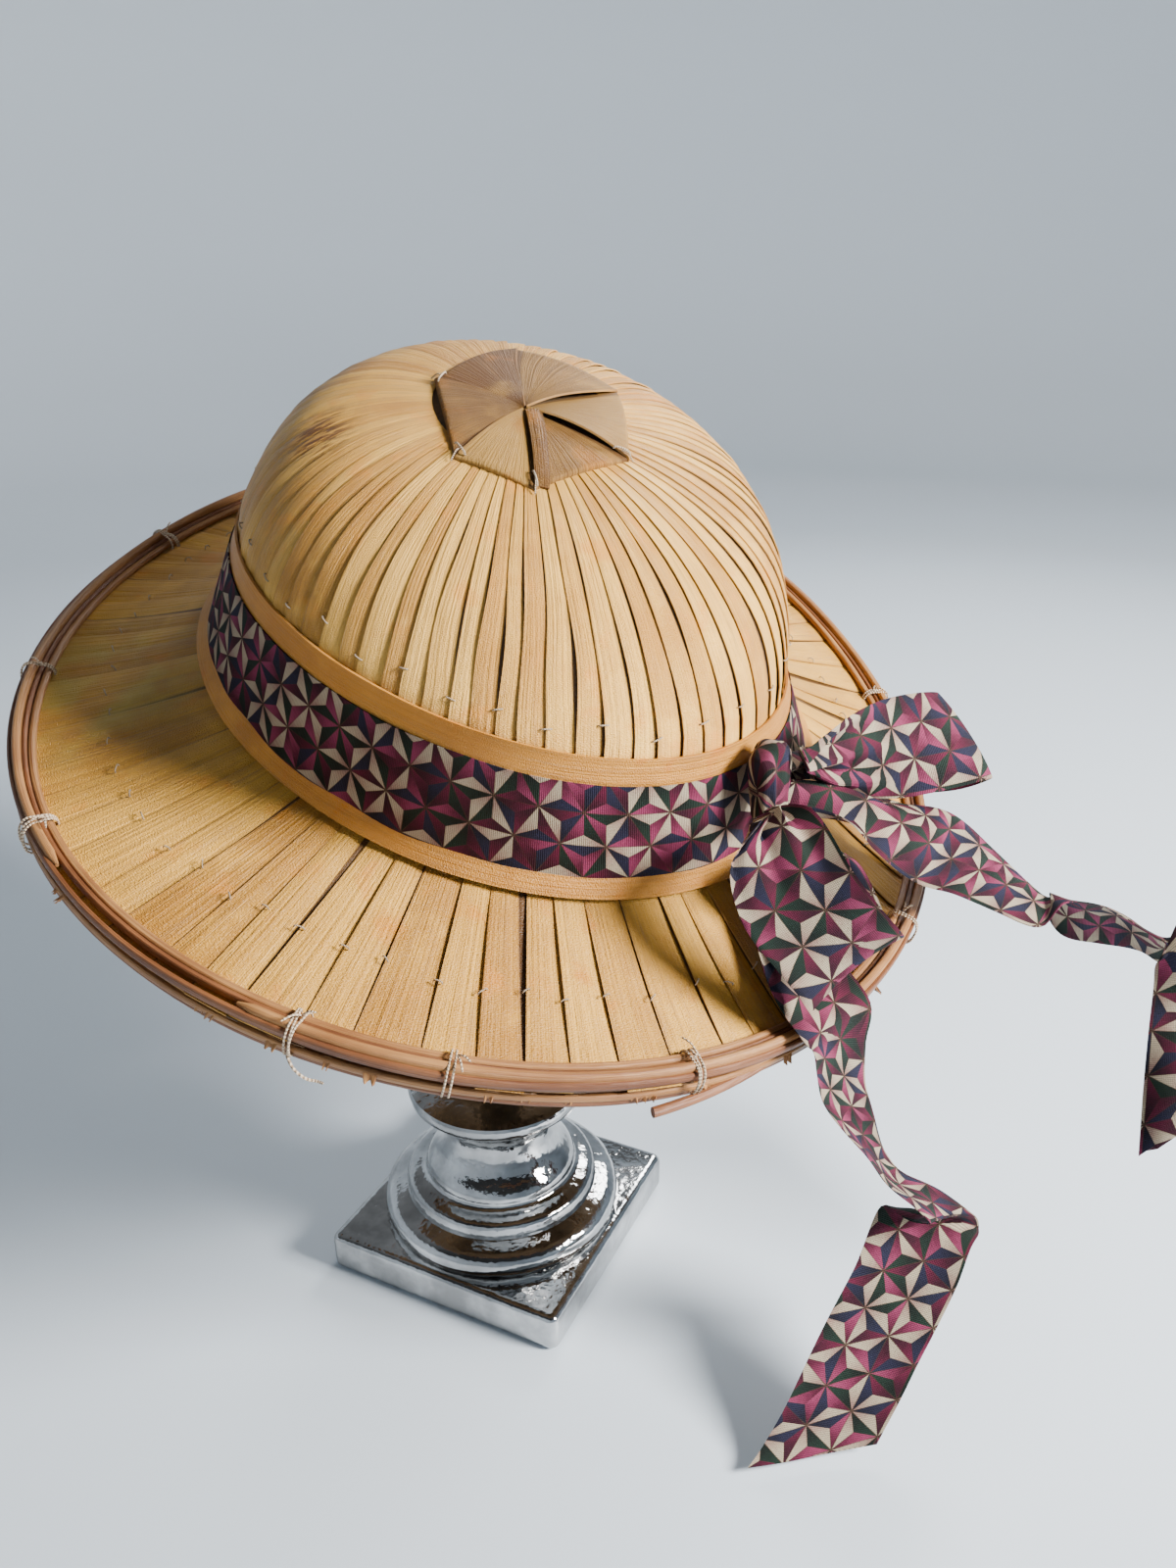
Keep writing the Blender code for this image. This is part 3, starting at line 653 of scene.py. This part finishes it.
def rim_height(angle):
    saddle = -0.0081 * math.cos(2 * angle) + 0.0030 * math.sin(2 * angle)
    return saddle + 0.0030 * (math.sin(angle) - 0.7 * math.cos(angle))


def brim_point(share, angle, over=0.0):
    """A point on the brim's upper face: 0 is the crown's foot, 1 the inner edge of the hoops."""
    inner = crown_ring(wall_radius(CROWN_FOOT) + 0.0016, angle, CROWN_FOOT)
    outer = Vector((math.cos(angle), math.sin(angle), 0)) * rim_radius(angle)
    outer.z = rim_height(angle)
    return inner.lerp(outer, share) + Vector((0, 0, over))


def rim_spot(angle, out, up):
    """A point near the rim, out from the inner edge of the hoops and up from the brim."""
    return brim_point(1, angle) + Vector((math.cos(angle) * out, math.sin(angle) * out, up))


FAR_BELOW = Vector((0, 0, -2))
# How far the brim sags halfway out
SAG = 0.0012
# The share of a strip's length inside the hoops, and the way round where strips stand up most
ON_BRIM = 0.88
LOOSEST = math.radians(290)
brim_edges = strip_edges(BRIM_STRIPS, 0.75, 1.25)
brim_skews = []
brim_work = bmesh.new()
for number in range(BRIM_STRIPS):
    left = brim_edges[number]
    right = brim_edges[number + 1]
    under = (right - left) * OVERLAP
    ragged = strip_luck.uniform(0.0065, 0.0088)
    bends = [strip_luck.uniform(0.5, 1.3) for _ in range(3)]
    skew = strip_luck.uniform(-0.012, 0.012)
    brim_skews.append(skew)

    def on_strip(down, across):
        ripple = (bends[0] * (1 - down) + bends[1] * down) * (0.80 + 0.35 * math.cos(left - LOOSEST))
        ripple *= 0.35 + 0.65 * math.sin(math.pi * min(down * 1.1, 1))
        over = 0.0002 + strip_lift(across * (1 + OVERLAP), ripple)
        angle = left + (right - left + under) * across + skew * (1 - down)
        if down > ON_BRIM:
            out = (down - ON_BRIM) / (1 - ON_BRIM)
            point = rim_spot(angle, out * ragged, over * 0.5)
        else:
            share = down / ON_BRIM
            point = brim_point(share, angle, over - SAG * math.sin(math.pi * share))
        return point, (across * (right - left) * 0.14 + number * 0.037, down * 0.06)

    lay(brim_work, 12, 5, on_strip, strip_luck.random(), FAR_BELOW)
brim_work.transform(HAT)
piece_from("brim_strips", brim_work, brim_leaf, ["brim"], LEAF)


def on_under(down, across):
    angle = math.tau * across
    on_brim = 0.9
    if down > on_brim:
        point = rim_spot(angle, (down - on_brim) / (1 - on_brim) * 0.007, -BRIM_LINING)
    else:
        share = down / on_brim
        point = brim_point(share, angle, -BRIM_LINING - SAG * math.sin(math.pi * share))
    return point, (across * 0.9, down * 0.06)


ring_piece("brim_lining", 10, 144, on_under, FAR_BELOW, lining_leaf, ["brim"], BRIM_LINING)


# The rim is clamped between hoops of split cane: four thin ones side by side on top and three below,
# tied through the brim. Cane is reddish, with straight grain, and its cut sides are paler.

def cane_paint(name, pale, deep):
    cane = Paint(name, 0.38)
    weave = cane.weave()
    grain = cane.cloud(cane.stretch(weave, (1500, 22, 1)), 1.0, 3, 0.6)
    lines = cane.cloud(cane.stretch(weave, (3800, 9, 1)), 1.0, 2, 0.5)
    patch = cane.cloud(cane.spot(), 34, 3, 0.6)
    base = cane.mix(cane.fade(grain * 0.6 + patch * 0.5, 0.38, 0.72), pale, deep)
    cane.colour(cane.mix(cane.fade(lines, 0.52, 0.66) * 0.55, base, (0.14, 0.05, 0.025)))
    cane.rough(0.30 + grain * 0.22)
    cane.bump(grain + lines * 0.6, 0.0004)
    cane.shine(0.3)
    return cane


pale_cane = cane_paint("pale cane", (0.42, 0.205, 0.070), (0.23, 0.092, 0.030))
red_cane = cane_paint("red cane", (0.25, 0.098, 0.036), (0.10, 0.032, 0.012))


# How square a cane is: 1 is an ellipse, and less is squarer
SQUARENESS = 0.62


def on_cane(out, up, width, height, start, turns, seed):
    """A flattened round rod along the rim, which wanders a little. turns is its share of the whole rim."""

    def place(along, around):
        angle = start + math.tau * turns * along
        side = math.tau * around
        drift = drift_round(angle, 2.2, seed)
        lift = drift_round(angle, 3.1, seed + 9)
        across = width / 2 * math.copysign(abs(math.cos(side)) ** SQUARENESS, math.cos(side))
        rise = height / 2 * math.copysign(abs(math.sin(side)) ** SQUARENESS, math.sin(side))
        taper = min(1, min(along, 1 - along) * 160 + 0.35) if turns < 1 else 1
        point = rim_spot(angle, out + drift * 0.0006 + across * taper, up + lift * 0.0003 + rise * taper)
        return point, (around * (width + height) * 2, angle * 0.17)

    return place


def rod_piece(name, paint, rings, sides, place, stands_for):
    work = bmesh.new()
    lay(work, rings, sides, place, 0.5)
    bmesh.ops.remove_doubles(work, verts=work.verts, dist=1e-7)
    ends = [edge for edge in work.edges if edge.is_boundary]
    if ends:
        bmesh.ops.holes_fill(work, edges=ends)
    bmesh.ops.recalc_face_normals(work, faces=work.faces)
    work.transform(HAT)
    piece_from(name, work, paint, stands_for)


# Each cane: how far out and up it lies, its width and height, where it starts in degrees, its share of the
# whole rim, and the hoop it belongs to
for seed, (name, paint, out, up, width, height, start, turns, hoop) in enumerate((
    ("hoop_pale", pale_cane, 0.0013, 0.0022, 0.0026, 0.0026, 0, 1, "hoop_inner"),
    ("hoop_red", red_cane, 0.0036, 0.0024, 0.0018, 0.0030, 0, 1, "hoop_inner"),
    ("hoop_thick", pale_cane, 0.0060, 0.0036, 0.0030, 0.0046, 247, 0.93, "hoop_upper"),
    ("hoop_outer", red_cane, 0.0079, 0.0024, 0.0018, 0.0034, 0, 1, "hoop_upper"),
    ("hoop_below", red_cane, 0.0046, -0.0033, 0.0040, 0.0034, 0, 1, "hoop_under"),
    ("hoop_below_thin", pale_cane, 0.0072, -0.0040, 0.0018, 0.0028, 0, 1, "hoop_under"),
    ("hoop_below_dark", red_cane, 0.0066, -0.0062, 0.0022, 0.0024, 0, 1, "hoop_under"),
), 1):
    place = on_cane(out, up, width, height, math.radians(start), turns, seed)
    rod_piece(name, paint, round(220 * turns), 12, place, [hoop])


def on_rod(down, across):
    """The end of one more rod, which sticks out below the rim at the front right, past its lashing."""
    angle = math.radians(286.2 + 15 * down)
    side = math.tau * across
    centre = rim_spot(angle, 0.0126 - 0.0066 * down, -0.0056 + 0.0004 * down)
    level = math.cos(side) * 0.0017
    off = Vector((math.cos(angle) * level, math.sin(angle) * level, math.sin(side) * 0.0015))
    return centre + off, (across * 0.009, down * 0.045)


rod_piece("rod_end", red_cane, 20, 10, on_rod, [])

# Frayed ends of leaf show between the upper and the lower hoops
frayed_work = bmesh.new()
for _ in range(46):
    at = strip_luck.uniform(0, math.tau)
    width = strip_luck.uniform(0.008, 0.030)
    reach = strip_luck.uniform(0.0004, 0.0030)
    skew = strip_luck.uniform(-0.01, 0.01)

    def on_sliver(down, across):
        angle = at + width * (across - 0.5) * (1 - 0.35 * down) + skew * down
        ragged = 0.0010 * math.sin(9 * across + at * 7) * down
        drop = -0.0024 - 0.0018 * down - 0.0010 * down**2
        point = rim_spot(angle, 0.0070 + (reach + ragged) * down, drop)
        return point, (across * width * 0.17 + at, down * 0.01)

    lay(frayed_work, 4, 6, on_sliver, strip_luck.random(), FAR_BELOW)
frayed_work.transform(HAT)
piece_from("frayed_ends", frayed_work, pale_cane, [], 0.0003)


# The ribbon is a ribbed cotton tape, 36 mm wide, printed all over with triangles. Each triangle is cut in
# three from its middle: cream, rose and a dark green or blue. One length goes round the band.

RIBBON = 0.0360
TRIANGLE = 0.0143

tape = Paint("printed ribbon", 0.80)
weave = tape.weave()
along = tape.part(weave, "X") / TRIANGLE
across = tape.part(weave, "Y") / TRIANGLE + 0.15
row = across * (2 / math.sqrt(3))
slot = along - across / math.sqrt(3)
row_number = tape.sum("FLOOR", row)
slot_number = tape.sum("FLOOR", slot)
near = slot - slot_number
far = row - row_number
down = (near + far) > 1
first = near + down * (1 - near * 2)
second = far + down * (1 - far * 2)
third = 1 - first - second
least = tape.sum("MINIMUM", tape.sum("MINIMUM", first, second), third)
most = tape.sum("MAXIMUM", tape.sum("MAXIMUM", first, second), third)
middle = 1 - least - most
is_second = tape.sum("MULTIPLY", second < first + 0.00001, second < third)
is_third = tape.sum("MULTIPLY", third < first + 0.00001, third < second + 0.00001)
is_first = tape.clamp(1 - is_second - is_third)
blend_way = is_first * (second / (second + third)) + is_second * (third / (third + first))
blend_way = blend_way + is_third * (first / (first + second))
home = tape.make("ShaderNodeCombineXYZ", 0, {}, slot_number, row_number, down * 5)
luck = tape.make("ShaderNodeTexWhiteNoise", "Value", {"noise_dimensions": "3D"}, home)
facet_slot = slot_number + is_second * 13
facet_row = row_number + is_third * 7
facet_home = tape.make("ShaderNodeCombineXYZ", 0, {}, facet_slot, facet_row, down * 3 + 40)
luck_more = tape.make("ShaderNodeTexWhiteNoise", "Value", {"noise_dimensions": "3D"}, facet_home)
facet = tape.sum("FLOORED_MODULO", is_second + is_third * 2 + slot_number + row_number + down * 2, 3)
soft = tape.cloud(weave, 700, 2, 0.6) * 0.35 - 0.17
swing = tape.fade(blend_way + soft + luck_more * 0.3 - 0.15, 0.0, 0.9)
rose = tape.mix(swing, (0.23, 0.030, 0.082), (0.052, 0.0014, 0.013))
wine = tape.mix(swing, (0.105, 0.005, 0.028), (0.026, 0.001, 0.008))
rose = tape.mix(luck_more > 0.45, rose, wine)
cream = tape.mix(tape.fade(blend_way + soft, 0.3, 1.1), (0.38, 0.31, 0.215), (0.23, 0.115, 0.10))
cream = tape.mix(luck > 0.74, cream, rose)
green = tape.mix(swing, (0.0012, 0.004, 0.0025), (0.0060, 0.020, 0.012))
blue = tape.mix(swing, (0.0018, 0.0016, 0.007), (0.011, 0.011, 0.032))
dark = tape.mix(luck_more > 0.5, green, blue)
ink = tape.mix(facet > 0.5, cream, tape.mix(facet > 1.5, rose, dark))
seam = 1 - tape.fade(tape.sum("MINIMUM", least, middle - least), 0.004, 0.022)
corner = tape.fade(most, 0.62, 0.93)
ink = tape.mix(seam * (0.30 + corner * 0.6), ink, (0.045, 0.024, 0.012))
thread_along = tape.sum("SINE", tape.part(weave, "X") * (math.tau / 0.00062))
thread_across = tape.sum("SINE", tape.part(weave, "Y") * (math.tau / 0.00055))
canvas = thread_along * 0.7 + thread_across * 0.3
slub = tape.cloud(weave, 2600, 2, 0.6)
# Painted shade: the ink is darkened in the gaps between the threads, where the weave's relief is in shade
thread_gap_shade = tape.fade(canvas + slub * 1.6, 0.2, 2.0)
tape.colour(tape.mix(thread_gap_shade * 0.55, ink, (0.004, 0.003, 0.003)))
tape.bump(canvas * 0.5 + slub, 0.00016)
tape.shine(0.2)

# The thickness of the cloth, and how far it lies from the middle on average
CLOTH = 0.0005
RIBBON_REACH = 0.1055
RIBBON_TOP = 0.0550
RIBBON_FOOT = RIBBON_TOP - RIBBON / math.hypot(1, WALL_SLOPE)


def on_ribbon_band(down, across):
    angle = math.tau * across
    height = RIBBON_TOP + (RIBBON_FOOT - RIBBON_TOP) * down
    wave = drift_round(angle, 5, down * 1.2)
    loose = 0.0006 + 0.0007 * wave * math.sin(math.pi * (0.15 + 0.7 * down))
    edge = 0.0004 * noise.noise(Vector((angle * 3, 0, 5)))
    point = crown_ring(band_radius(height) + loose, angle, height + edge)
    return point, (across * math.tau * RIBBON_REACH, down * RIBBON)


ribbon_round = ring_piece(
    "ribbon_round", 12, 200, on_ribbon_band, CROWN_MIDDLE, tape, ["ribbon_band"], CLOTH
)


# The bow is tied at the right of the crown from the same ribbon: a small tight knot, a loop that stands
# up behind, a loop that falls over the brim in front, and two loose ends.

KNOT_TURN = math.radians(-42.5)
KNOT_HEIGHT = 0.0540
KNOT = crown_ring(wall_radius(KNOT_HEIGHT) + 0.0110, KNOT_TURN, KNOT_HEIGHT)
# How deep the folds are where the ribbon is gathered
FOLD_DEPTH = 0.0042
FINE_FOLD = 0.0012


def smooth_row(table, place):
    """A row between the rows of a table, on a smooth curve through them. place runs from 0 to 1."""
    spot = min(max(place, 0), 1) * (len(table) - 1)
    at = min(int(spot), len(table) - 2)
    share = spot - at
    before = table[max(at - 1, 0)]
    after = table[min(at + 2, len(table) - 1)]
    row = []
    for p0, p1, p2, p3 in zip(before, table[at], table[at + 1], after):
        bend = 2 * p0 - 5 * p1 + 4 * p2 - p3
        twist = 3 * p1 - p0 - 3 * p2 + p3
        row.append(p1 + 0.5 * share * ((p2 - p0) + share * (bend + share * twist)))
    return row


def ribbon_length(name, table, place, slant, cup, curl, folds, seed, stands_for):
    """A length of ribbon through a table's rows. Where a row's opening is under 1, it gathers in folds."""
    steps = 400
    centres = [place(smooth_row(table, step / steps))[0] for step in range(steps + 1)]
    travelled = [0.0]
    for before, after in zip(centres, centres[1:]):
        travelled.append(travelled[-1] + (after - before).length)
    length = travelled[-1]

    def at_length(distance):
        low = 0
        while low < steps - 1 and travelled[low + 1] < distance:
            low += 1
        gap = travelled[low + 1] - travelled[low]
        return (low + (distance - travelled[low]) / gap) / steps

    def on_ribbon(down, across):
        distance = down * (length - (slant * across if slant > 0 else slant * (across - 1)))
        where = at_length(distance)
        row = smooth_row(table, where)
        centre, way = place(row)
        before = place(smooth_row(table, max(where - 0.01, 0)))[0]
        after = place(smooth_row(table, min(where + 0.01, 1)))[0]
        normal = way.cross(after - before).normalized()
        opening = way.length
        side = across - 0.5
        gather = math.sqrt(max(1 - min(opening, 1) ** 2, 0))
        crease = math.sin(math.tau * folds * (across + 0.07 * math.sin(5 * where))) * gather * FOLD_DEPTH
        crease += math.sin(math.tau * folds * 2.1 * across + 2 * where) * gather * FINE_FOLD
        way_before = place(smooth_row(table, max(where - 0.03, 0)))[1]
        turning = place(smooth_row(table, min(where + 0.03, 1)))[1].angle(way_before)
        drift = noise.noise(Vector((across * 1.7, distance * 40, seed))) * 0.0011
        lift = (cup + curl * turning) * (1 - 4 * side * side) + crease + drift
        return centre + way * (RIBBON * side) + normal * lift, (distance + seed * 0.0071, across * RIBBON)

    work = bmesh.new()
    lay(work, max(round(length / 0.0020), 24), 22, on_ribbon, 0.5)
    piece = piece_from(name, work, tape, stands_for, CLOTH)
    RIBBON * (length - abs(slant) / 2)


def across_of(row):
    turn = math.radians(row[3])
    slope = math.radians(row[4])
    flat = math.cos(slope)
    return Vector((flat * math.cos(turn), flat * math.sin(turn), math.sin(slope))) * row[5]


def loop_row(row):
    across = HAT.to_3x3() @ across_of(row)
    return HAT @ (KNOT + Vector(row[:3]) * RIBBON), across


def tail_row(start):
    def place(row):
        centre = Vector((start.x + row[0] * RIBBON, start.y + row[1] * RIBBON, start.z * row[2]))
        return centre, across_of(row)

    return place


# Each row: x, y and z from the knot in ribbon widths, the turn and slope of the cloth's width in degrees,
# and how far it is open: under 1 it is gathered
LOOP_FRONT = (
    (-0.08, -0.46, 0.04, 61, -18, 0.45), (-0.05, -0.68, -0.02, 38, 15, 0.90),
    (0.18, -1.09, -0.27, 20, 31, 1.00), (0.53, -1.30, -0.53, 23, 33, 1.00),
    (0.86, -1.37, -0.80, 33, 35, 1.00), (0.76, -1.00, -0.90, 23, 33, 1.00),
    (0.51, -0.51, -0.69, 19, 30, 0.95), (0.22, -0.30, -0.46, 57, -12, 0.45),
)
LOOP_UPPER = (
    (0.25, 0.14, 0.22, 57, -51, 0.42), (0.62, 0.43, 0.01, 18, -65, 0.85),
    (1.30, 0.85, -0.09, -40, -58, 1.00), (2.19, 1.28, -0.09, -35, -36, 1.00),
    (2.04, 1.56, -0.52, -41, -31, 1.00), (1.20, 1.27, -0.61, 5, -58, 0.90),
    (0.25, 0.36, -0.12, 60, -49, 0.42),
)
for name, table, seed in (("loop_front", LOOP_FRONT, 3), ("loop_upper", LOOP_UPPER, 8)):
    ribbon_length(name, table, loop_row, 0, 0.0016, 0, 2.5, seed, [f"bow_{name}"])

# Each row: x and y from the tail's start in ribbon widths, z as a share of the start's height, then turn,
# slope and opening as above
TAIL_FRONT = (
    (0.00, 0.00, 0.994, 50, -10, 0.45), (0.20, -0.33, 0.904, 44, -2, 0.85),
    (0.35, -0.70, 0.850, 44, -3, 1.00), (0.55, -1.02, 0.809, 43, -5, 1.00),
    (0.59, -1.03, 0.762, 48, -23, 1.00), (0.64, -0.99, 0.696, 47, -32, 1.00),
    (0.74, -0.93, 0.631, 47, -32, 1.00), (0.92, -0.88, 0.563, 54, -33, 1.00),
    (1.10, -0.83, 0.507, 61, -35, 1.00), (1.30, -0.78, 0.452, 63, -33, 1.00),
    (1.63, -0.79, 0.410, 56, -28, 1.00), (1.89, -0.80, 0.366, 44, -28, 1.00),
    (1.89, -0.61, 0.319, 22, -27, 1.00), (1.71, -0.59, 0.314, -9, -23, 1.00),
    (1.46, -0.87, 0.238, -7, -15, 1.00), (1.08, -1.23, 0.149, -7, -16, 1.00),
    (0.75, -1.58, 0.076, -4, -9, 1.00), (0.49, -1.83, 0.025, -4, -9, 1.00),
    (0.33, -1.99, 0.016, -4, -4, 1.00),
)
TAIL_SIDE = (
    (0.02, 0.02, 0.990, -96, 8, 0.40), (0.65, 0.24, 0.955, -109, 10, 0.85),
    (1.06, 0.34, 0.923, -119, -2, 1.00), (1.62, 0.56, 0.863, -124, -20, 1.00),
    (2.08, 0.70, 0.810, -128, -6, 1.00), (2.51, 0.77, 0.756, -123, 6, 1.00),
    (2.88, 0.81, 0.712, -112, 16, 1.00), (3.14, 0.87, 0.701, -114, 46, 1.00),
    (3.60, 0.96, 0.676, -117, 50, 1.00), (4.05, 1.02, 0.641, -121, 41, 1.00),
    (4.38, 0.95, 0.614, -123, 38, 1.00), (4.52, 0.59, 0.629, -175, 1, 1.00),
    (4.40, 0.18, 0.531, -181, 1, 1.00), (4.18, -0.31, 0.413, -171, -20, 1.00),
    (4.17, -0.32, 0.410, -170, -22, 1.00),
)
front_start = HAT @ KNOT + Vector((0.0, 0.13, -0.83)) * RIBBON
side_start = HAT @ KNOT + Vector((0.18, 0.33, -0.27)) * RIBBON
for name, table, start, slant, cup, curl, seed in (
    ("tail_front", TAIL_FRONT, front_start, 0.015, 0.0012, 0.004, 21),
    ("tail_side", TAIL_SIDE, side_start, -0.012, 0.0030, 0.013, 34),
):
    ribbon_length(name, table, tail_row(start), slant, cup, curl, 2.0, seed, [name])

knot_work = bmesh.new()
knot_weave = knot_work.loops.layers.uv.new("weave")
bmesh.ops.create_uvsphere(knot_work, u_segments=64, v_segments=40, radius=1)
for vertex in knot_work.verts:
    round_spot = Vector([math.copysign(abs(value) ** 0.72, value) for value in vertex.co])
    wide, high = vertex.co.yz
    creases = math.sin(8.5 * wide + 1.6 * high) + 0.6 * math.sin(15 * wide - 1.1 * high + 2)
    pinch = 0.95 - 0.24 * (1 - high**2) + 0.06 * math.sin(3 * high)
    swell = (1 + 0.085 * creases) * pinch
    vertex.co = Vector((round_spot.x * swell, round_spot.y * pinch, round_spot.z * (1 + 0.03 * creases)))
for face in knot_work.faces:
    for loop in face.loops:
        spot = loop.vert.co
        loop[knot_weave].uv = (math.atan2(spot.z, spot.x) * 0.011, spot.y * 0.011 + 0.014)
knot_shape = Matrix.Diagonal((0.0070, 0.0105, 0.0135, 1))
knot_lean = Matrix.Rotation(-math.atan(WALL_SLOPE), 4, "Y")
knot_facing = Matrix.Rotation(KNOT_TURN, 4, "Z")
knot_work.transform(HAT @ Matrix.Translation(KNOT) @ knot_facing @ knot_lean @ knot_shape)
piece_from("knot", knot_work, tape, ["bow_knot"])


# Thin pale string lashes the hoops together through the brim, two or three turns at a time. A finer
# thread tacks the strips down above the band and in a ring out on the brim, and the cap at its corners.

twine = Paint("lashing string", 0.8)
string_weave = twine.weave()
ply = twine.part(string_weave, "X") * 2600 + twine.part(string_weave, "Y") * 900
string_twist = twine.sum("SINE", ply)
string_fluff = twine.cloud(twine.spot(), 900, 3, 0.7)
# Painted light and shade: the plies' twist shows as pale crests and dark grooves, with a cloudy fluff tone
# mixed in
ply_shading_and_fluff = twine.fade(string_twist + string_fluff * 2, -0.6, 2.2)
twine.colour(twine.mix(ply_shading_and_fluff, (0.30, 0.19, 0.11), (0.66, 0.53, 0.38)))
twine.bump(string_twist * 0.6 + string_fluff, 0.0003)


def strand(work, points, radius, facing, shade, sides=6):
    """A string on a smooth line through points, narrowed at both open ends. facing stays off to its side.
    """
    steps = 5 * (len(points) - 1)
    rows = [tuple(point) for point in points]
    line = [Vector(smooth_row(rows, step / steps)) for step in range(steps + 1)]

    def on_strand(down, across):
        at = round(down * steps)
        ahead = (line[min(at + 1, steps)] - line[max(at - 1, 0)]).normalized()
        side = ahead.cross(facing).normalized()
        turn = math.tau * across
        taper = 0.15 if at in (0, steps) else 1
        off = (side * math.cos(turn) + side.cross(ahead) * math.sin(turn)) * radius * taper
        return line[at] + off, (down * steps * 0.0015, across * radius * 6)

    made = lay(work, steps, sides, on_strand, shade)
    bmesh.ops.remove_doubles(work, verts=made, dist=radius * 0.02)


STRING = 0.00036
TURN_GAP = 0.0011
string_luck = random.Random(31)
lash_work = bmesh.new()
CURL_AT = 252.6
# The way each lashing faces round the rim, in degrees, and its number of turns
LASHINGS = ((108, 2), (152, 3), (186, 2), (215, 3), (CURL_AT, 3), (267, 2), (291, 3), (332, 2), (18, 3))
for facing, turns in LASHINGS:
    middle = math.radians(facing)
    sideways = Vector((-math.sin(middle), math.cos(middle), 0))
    for turn in range(turns):
        shift = (turn - (turns - 1) / 2) * TURN_GAP + string_luck.uniform(-0.0003, 0.0003)
        slant = string_luck.uniform(-0.0014, 0.0014)
        points = []
        for out, up, along in (
            (-0.0012, 0.0004, -0.5), (-0.0008, 0.0030, -0.4), (0.0010, 0.0050, -0.2),
            (0.0046, 0.0056, 0.0), (0.0078, 0.0056, 0.2), (0.0098, 0.0032, 0.3),
            (0.0102, -0.0010, 0.4), (0.0094, -0.0044, 0.5), (0.0060, -0.0068, 0.3),
            (0.0026, -0.0062, 0.0), (0.0010, -0.0036, -0.2), (-0.0010, -0.0010, -0.4),
        ):
            points.append(rim_spot(middle, out, up) + sideways * (shift + slant * along * 2))
        strand(lash_work, points, STRING, sideways, string_luck.random())
    # The ends are knotted on top, and stick out
    tip = rim_spot(middle, 0.0030, 0.0062) + sideways * 0.001
    for _ in range(2):
        aside, ahead = string_luck.uniform(-1, 1), string_luck.uniform(-1, 1)
        reach = Vector((aside, ahead, string_luck.uniform(0.1, 0.5)))
        points = [tip, tip + reach * 0.003 + Vector((0, 0, 0.0012)), tip + reach * 0.0065]
        strand(lash_work, points, 0.00030, reach.orthogonal(), string_luck.random())

# The front left lashing ends in a long curl
curl_start = rim_spot(math.radians(CURL_AT), 0.0095, -0.0040)
CURL = ((2.5, -3.0, -2.0), (6.0, -4.2, -4.2), (9.2, -3.8, -5.6), (11.2, -4.6, -5.2))
curl = [curl_start] + [curl_start + Vector(step) / 1000 for step in CURL]
strand(lash_work, curl, 0.00045, Vector((0, 0, 1)), 0.3)
lash_work.transform(HAT)
bmesh.ops.recalc_face_normals(lash_work, faces=lash_work.faces)
piece_from("lashings", lash_work, twine, [f"lashing_{number + 1}" for number in range(9)])


def stitch(work, middle, way, normal, length, radius):
    """One short stitch that dips into the leaf at both ends."""
    way = way.normalized()
    normal = normal.normalized()
    points = []
    for share, high in ((-0.5, -0.0006), (-0.38, 0.0004), (0, 0.0007), (0.38, 0.0004), (0.5, -0.0006)):
        points.append(middle + way * (length * share) + normal * high)
    strand(work, points, radius, normal.cross(way), string_luck.random(), 5)


THREAD = 0.00024
stitch_work = bmesh.new()
for number in range(BRIM_STRIPS):
    share = 0.62 + string_luck.uniform(-0.035, 0.035)
    angle = brim_edges[number] + brim_skews[number] * (1 - share)
    middle = brim_point(share, angle, 0.0012)
    outwards = brim_point(share + 0.05, angle) - brim_point(share - 0.05, angle)
    sideways = Vector((-math.sin(angle), math.cos(angle), 0))
    way = sideways + outwards.normalized() * string_luck.uniform(-0.9, 0.9)
    length = string_luck.uniform(0.0024, 0.0036)
    stitch(stitch_work, middle, way, outwards.cross(sideways), length, THREAD)
for number in range(0, CROWN_STRIPS, 2):
    out = 0.945 + string_luck.uniform(-0.03, 0.02)
    spots = []
    for step_angle, step_out in ((0, out), (0.02, out), (0, out + 0.02)):
        angle = crown_edges[number] + step_angle
        spots.append(dome_point(spoke(angle) * step_out + CAP_SPOT * (1 - step_out**2), 0.0014))
    sideways = spots[1] - spots[0]
    down_wall = spots[2] - spots[0]
    way = sideways.normalized() + down_wall.normalized() * string_luck.uniform(-0.4, 0.4)
    length = string_luck.uniform(0.0026, 0.0040)
    stitch(stitch_work, spots[0], way, down_wall.cross(sideways), length, THREAD)
for number, turned in ((0, 0.4), (3, 1.6), (4, 1.2), (5, 0.2)):
    corner = cap_corner(number) * 0.93
    spot = cap_point(corner, 0.0030)
    outwards = cap_point(corner * 1.05, 0.0030) - spot
    upwards = cap_point(corner, 0.0040) - spot
    way = Matrix.Rotation(turned, 3, upwards) @ outwards
    stitch(stitch_work, spot, way, upwards, 0.0060, 0.00032)
    loose = [spot]
    for out, up in ((1.2, 0.6), (2.2, -0.6), (3.0, -1.8)):
        loose.append(spot + outwards * out + upwards * up)
    strand(stitch_work, loose, THREAD, upwards, 0.8, 5)
stitch_work.transform(HAT)
bmesh.ops.recalc_face_normals(stitch_work, faces=stitch_work.faces)
piece_from("stitches", stitch_work, twine, [])
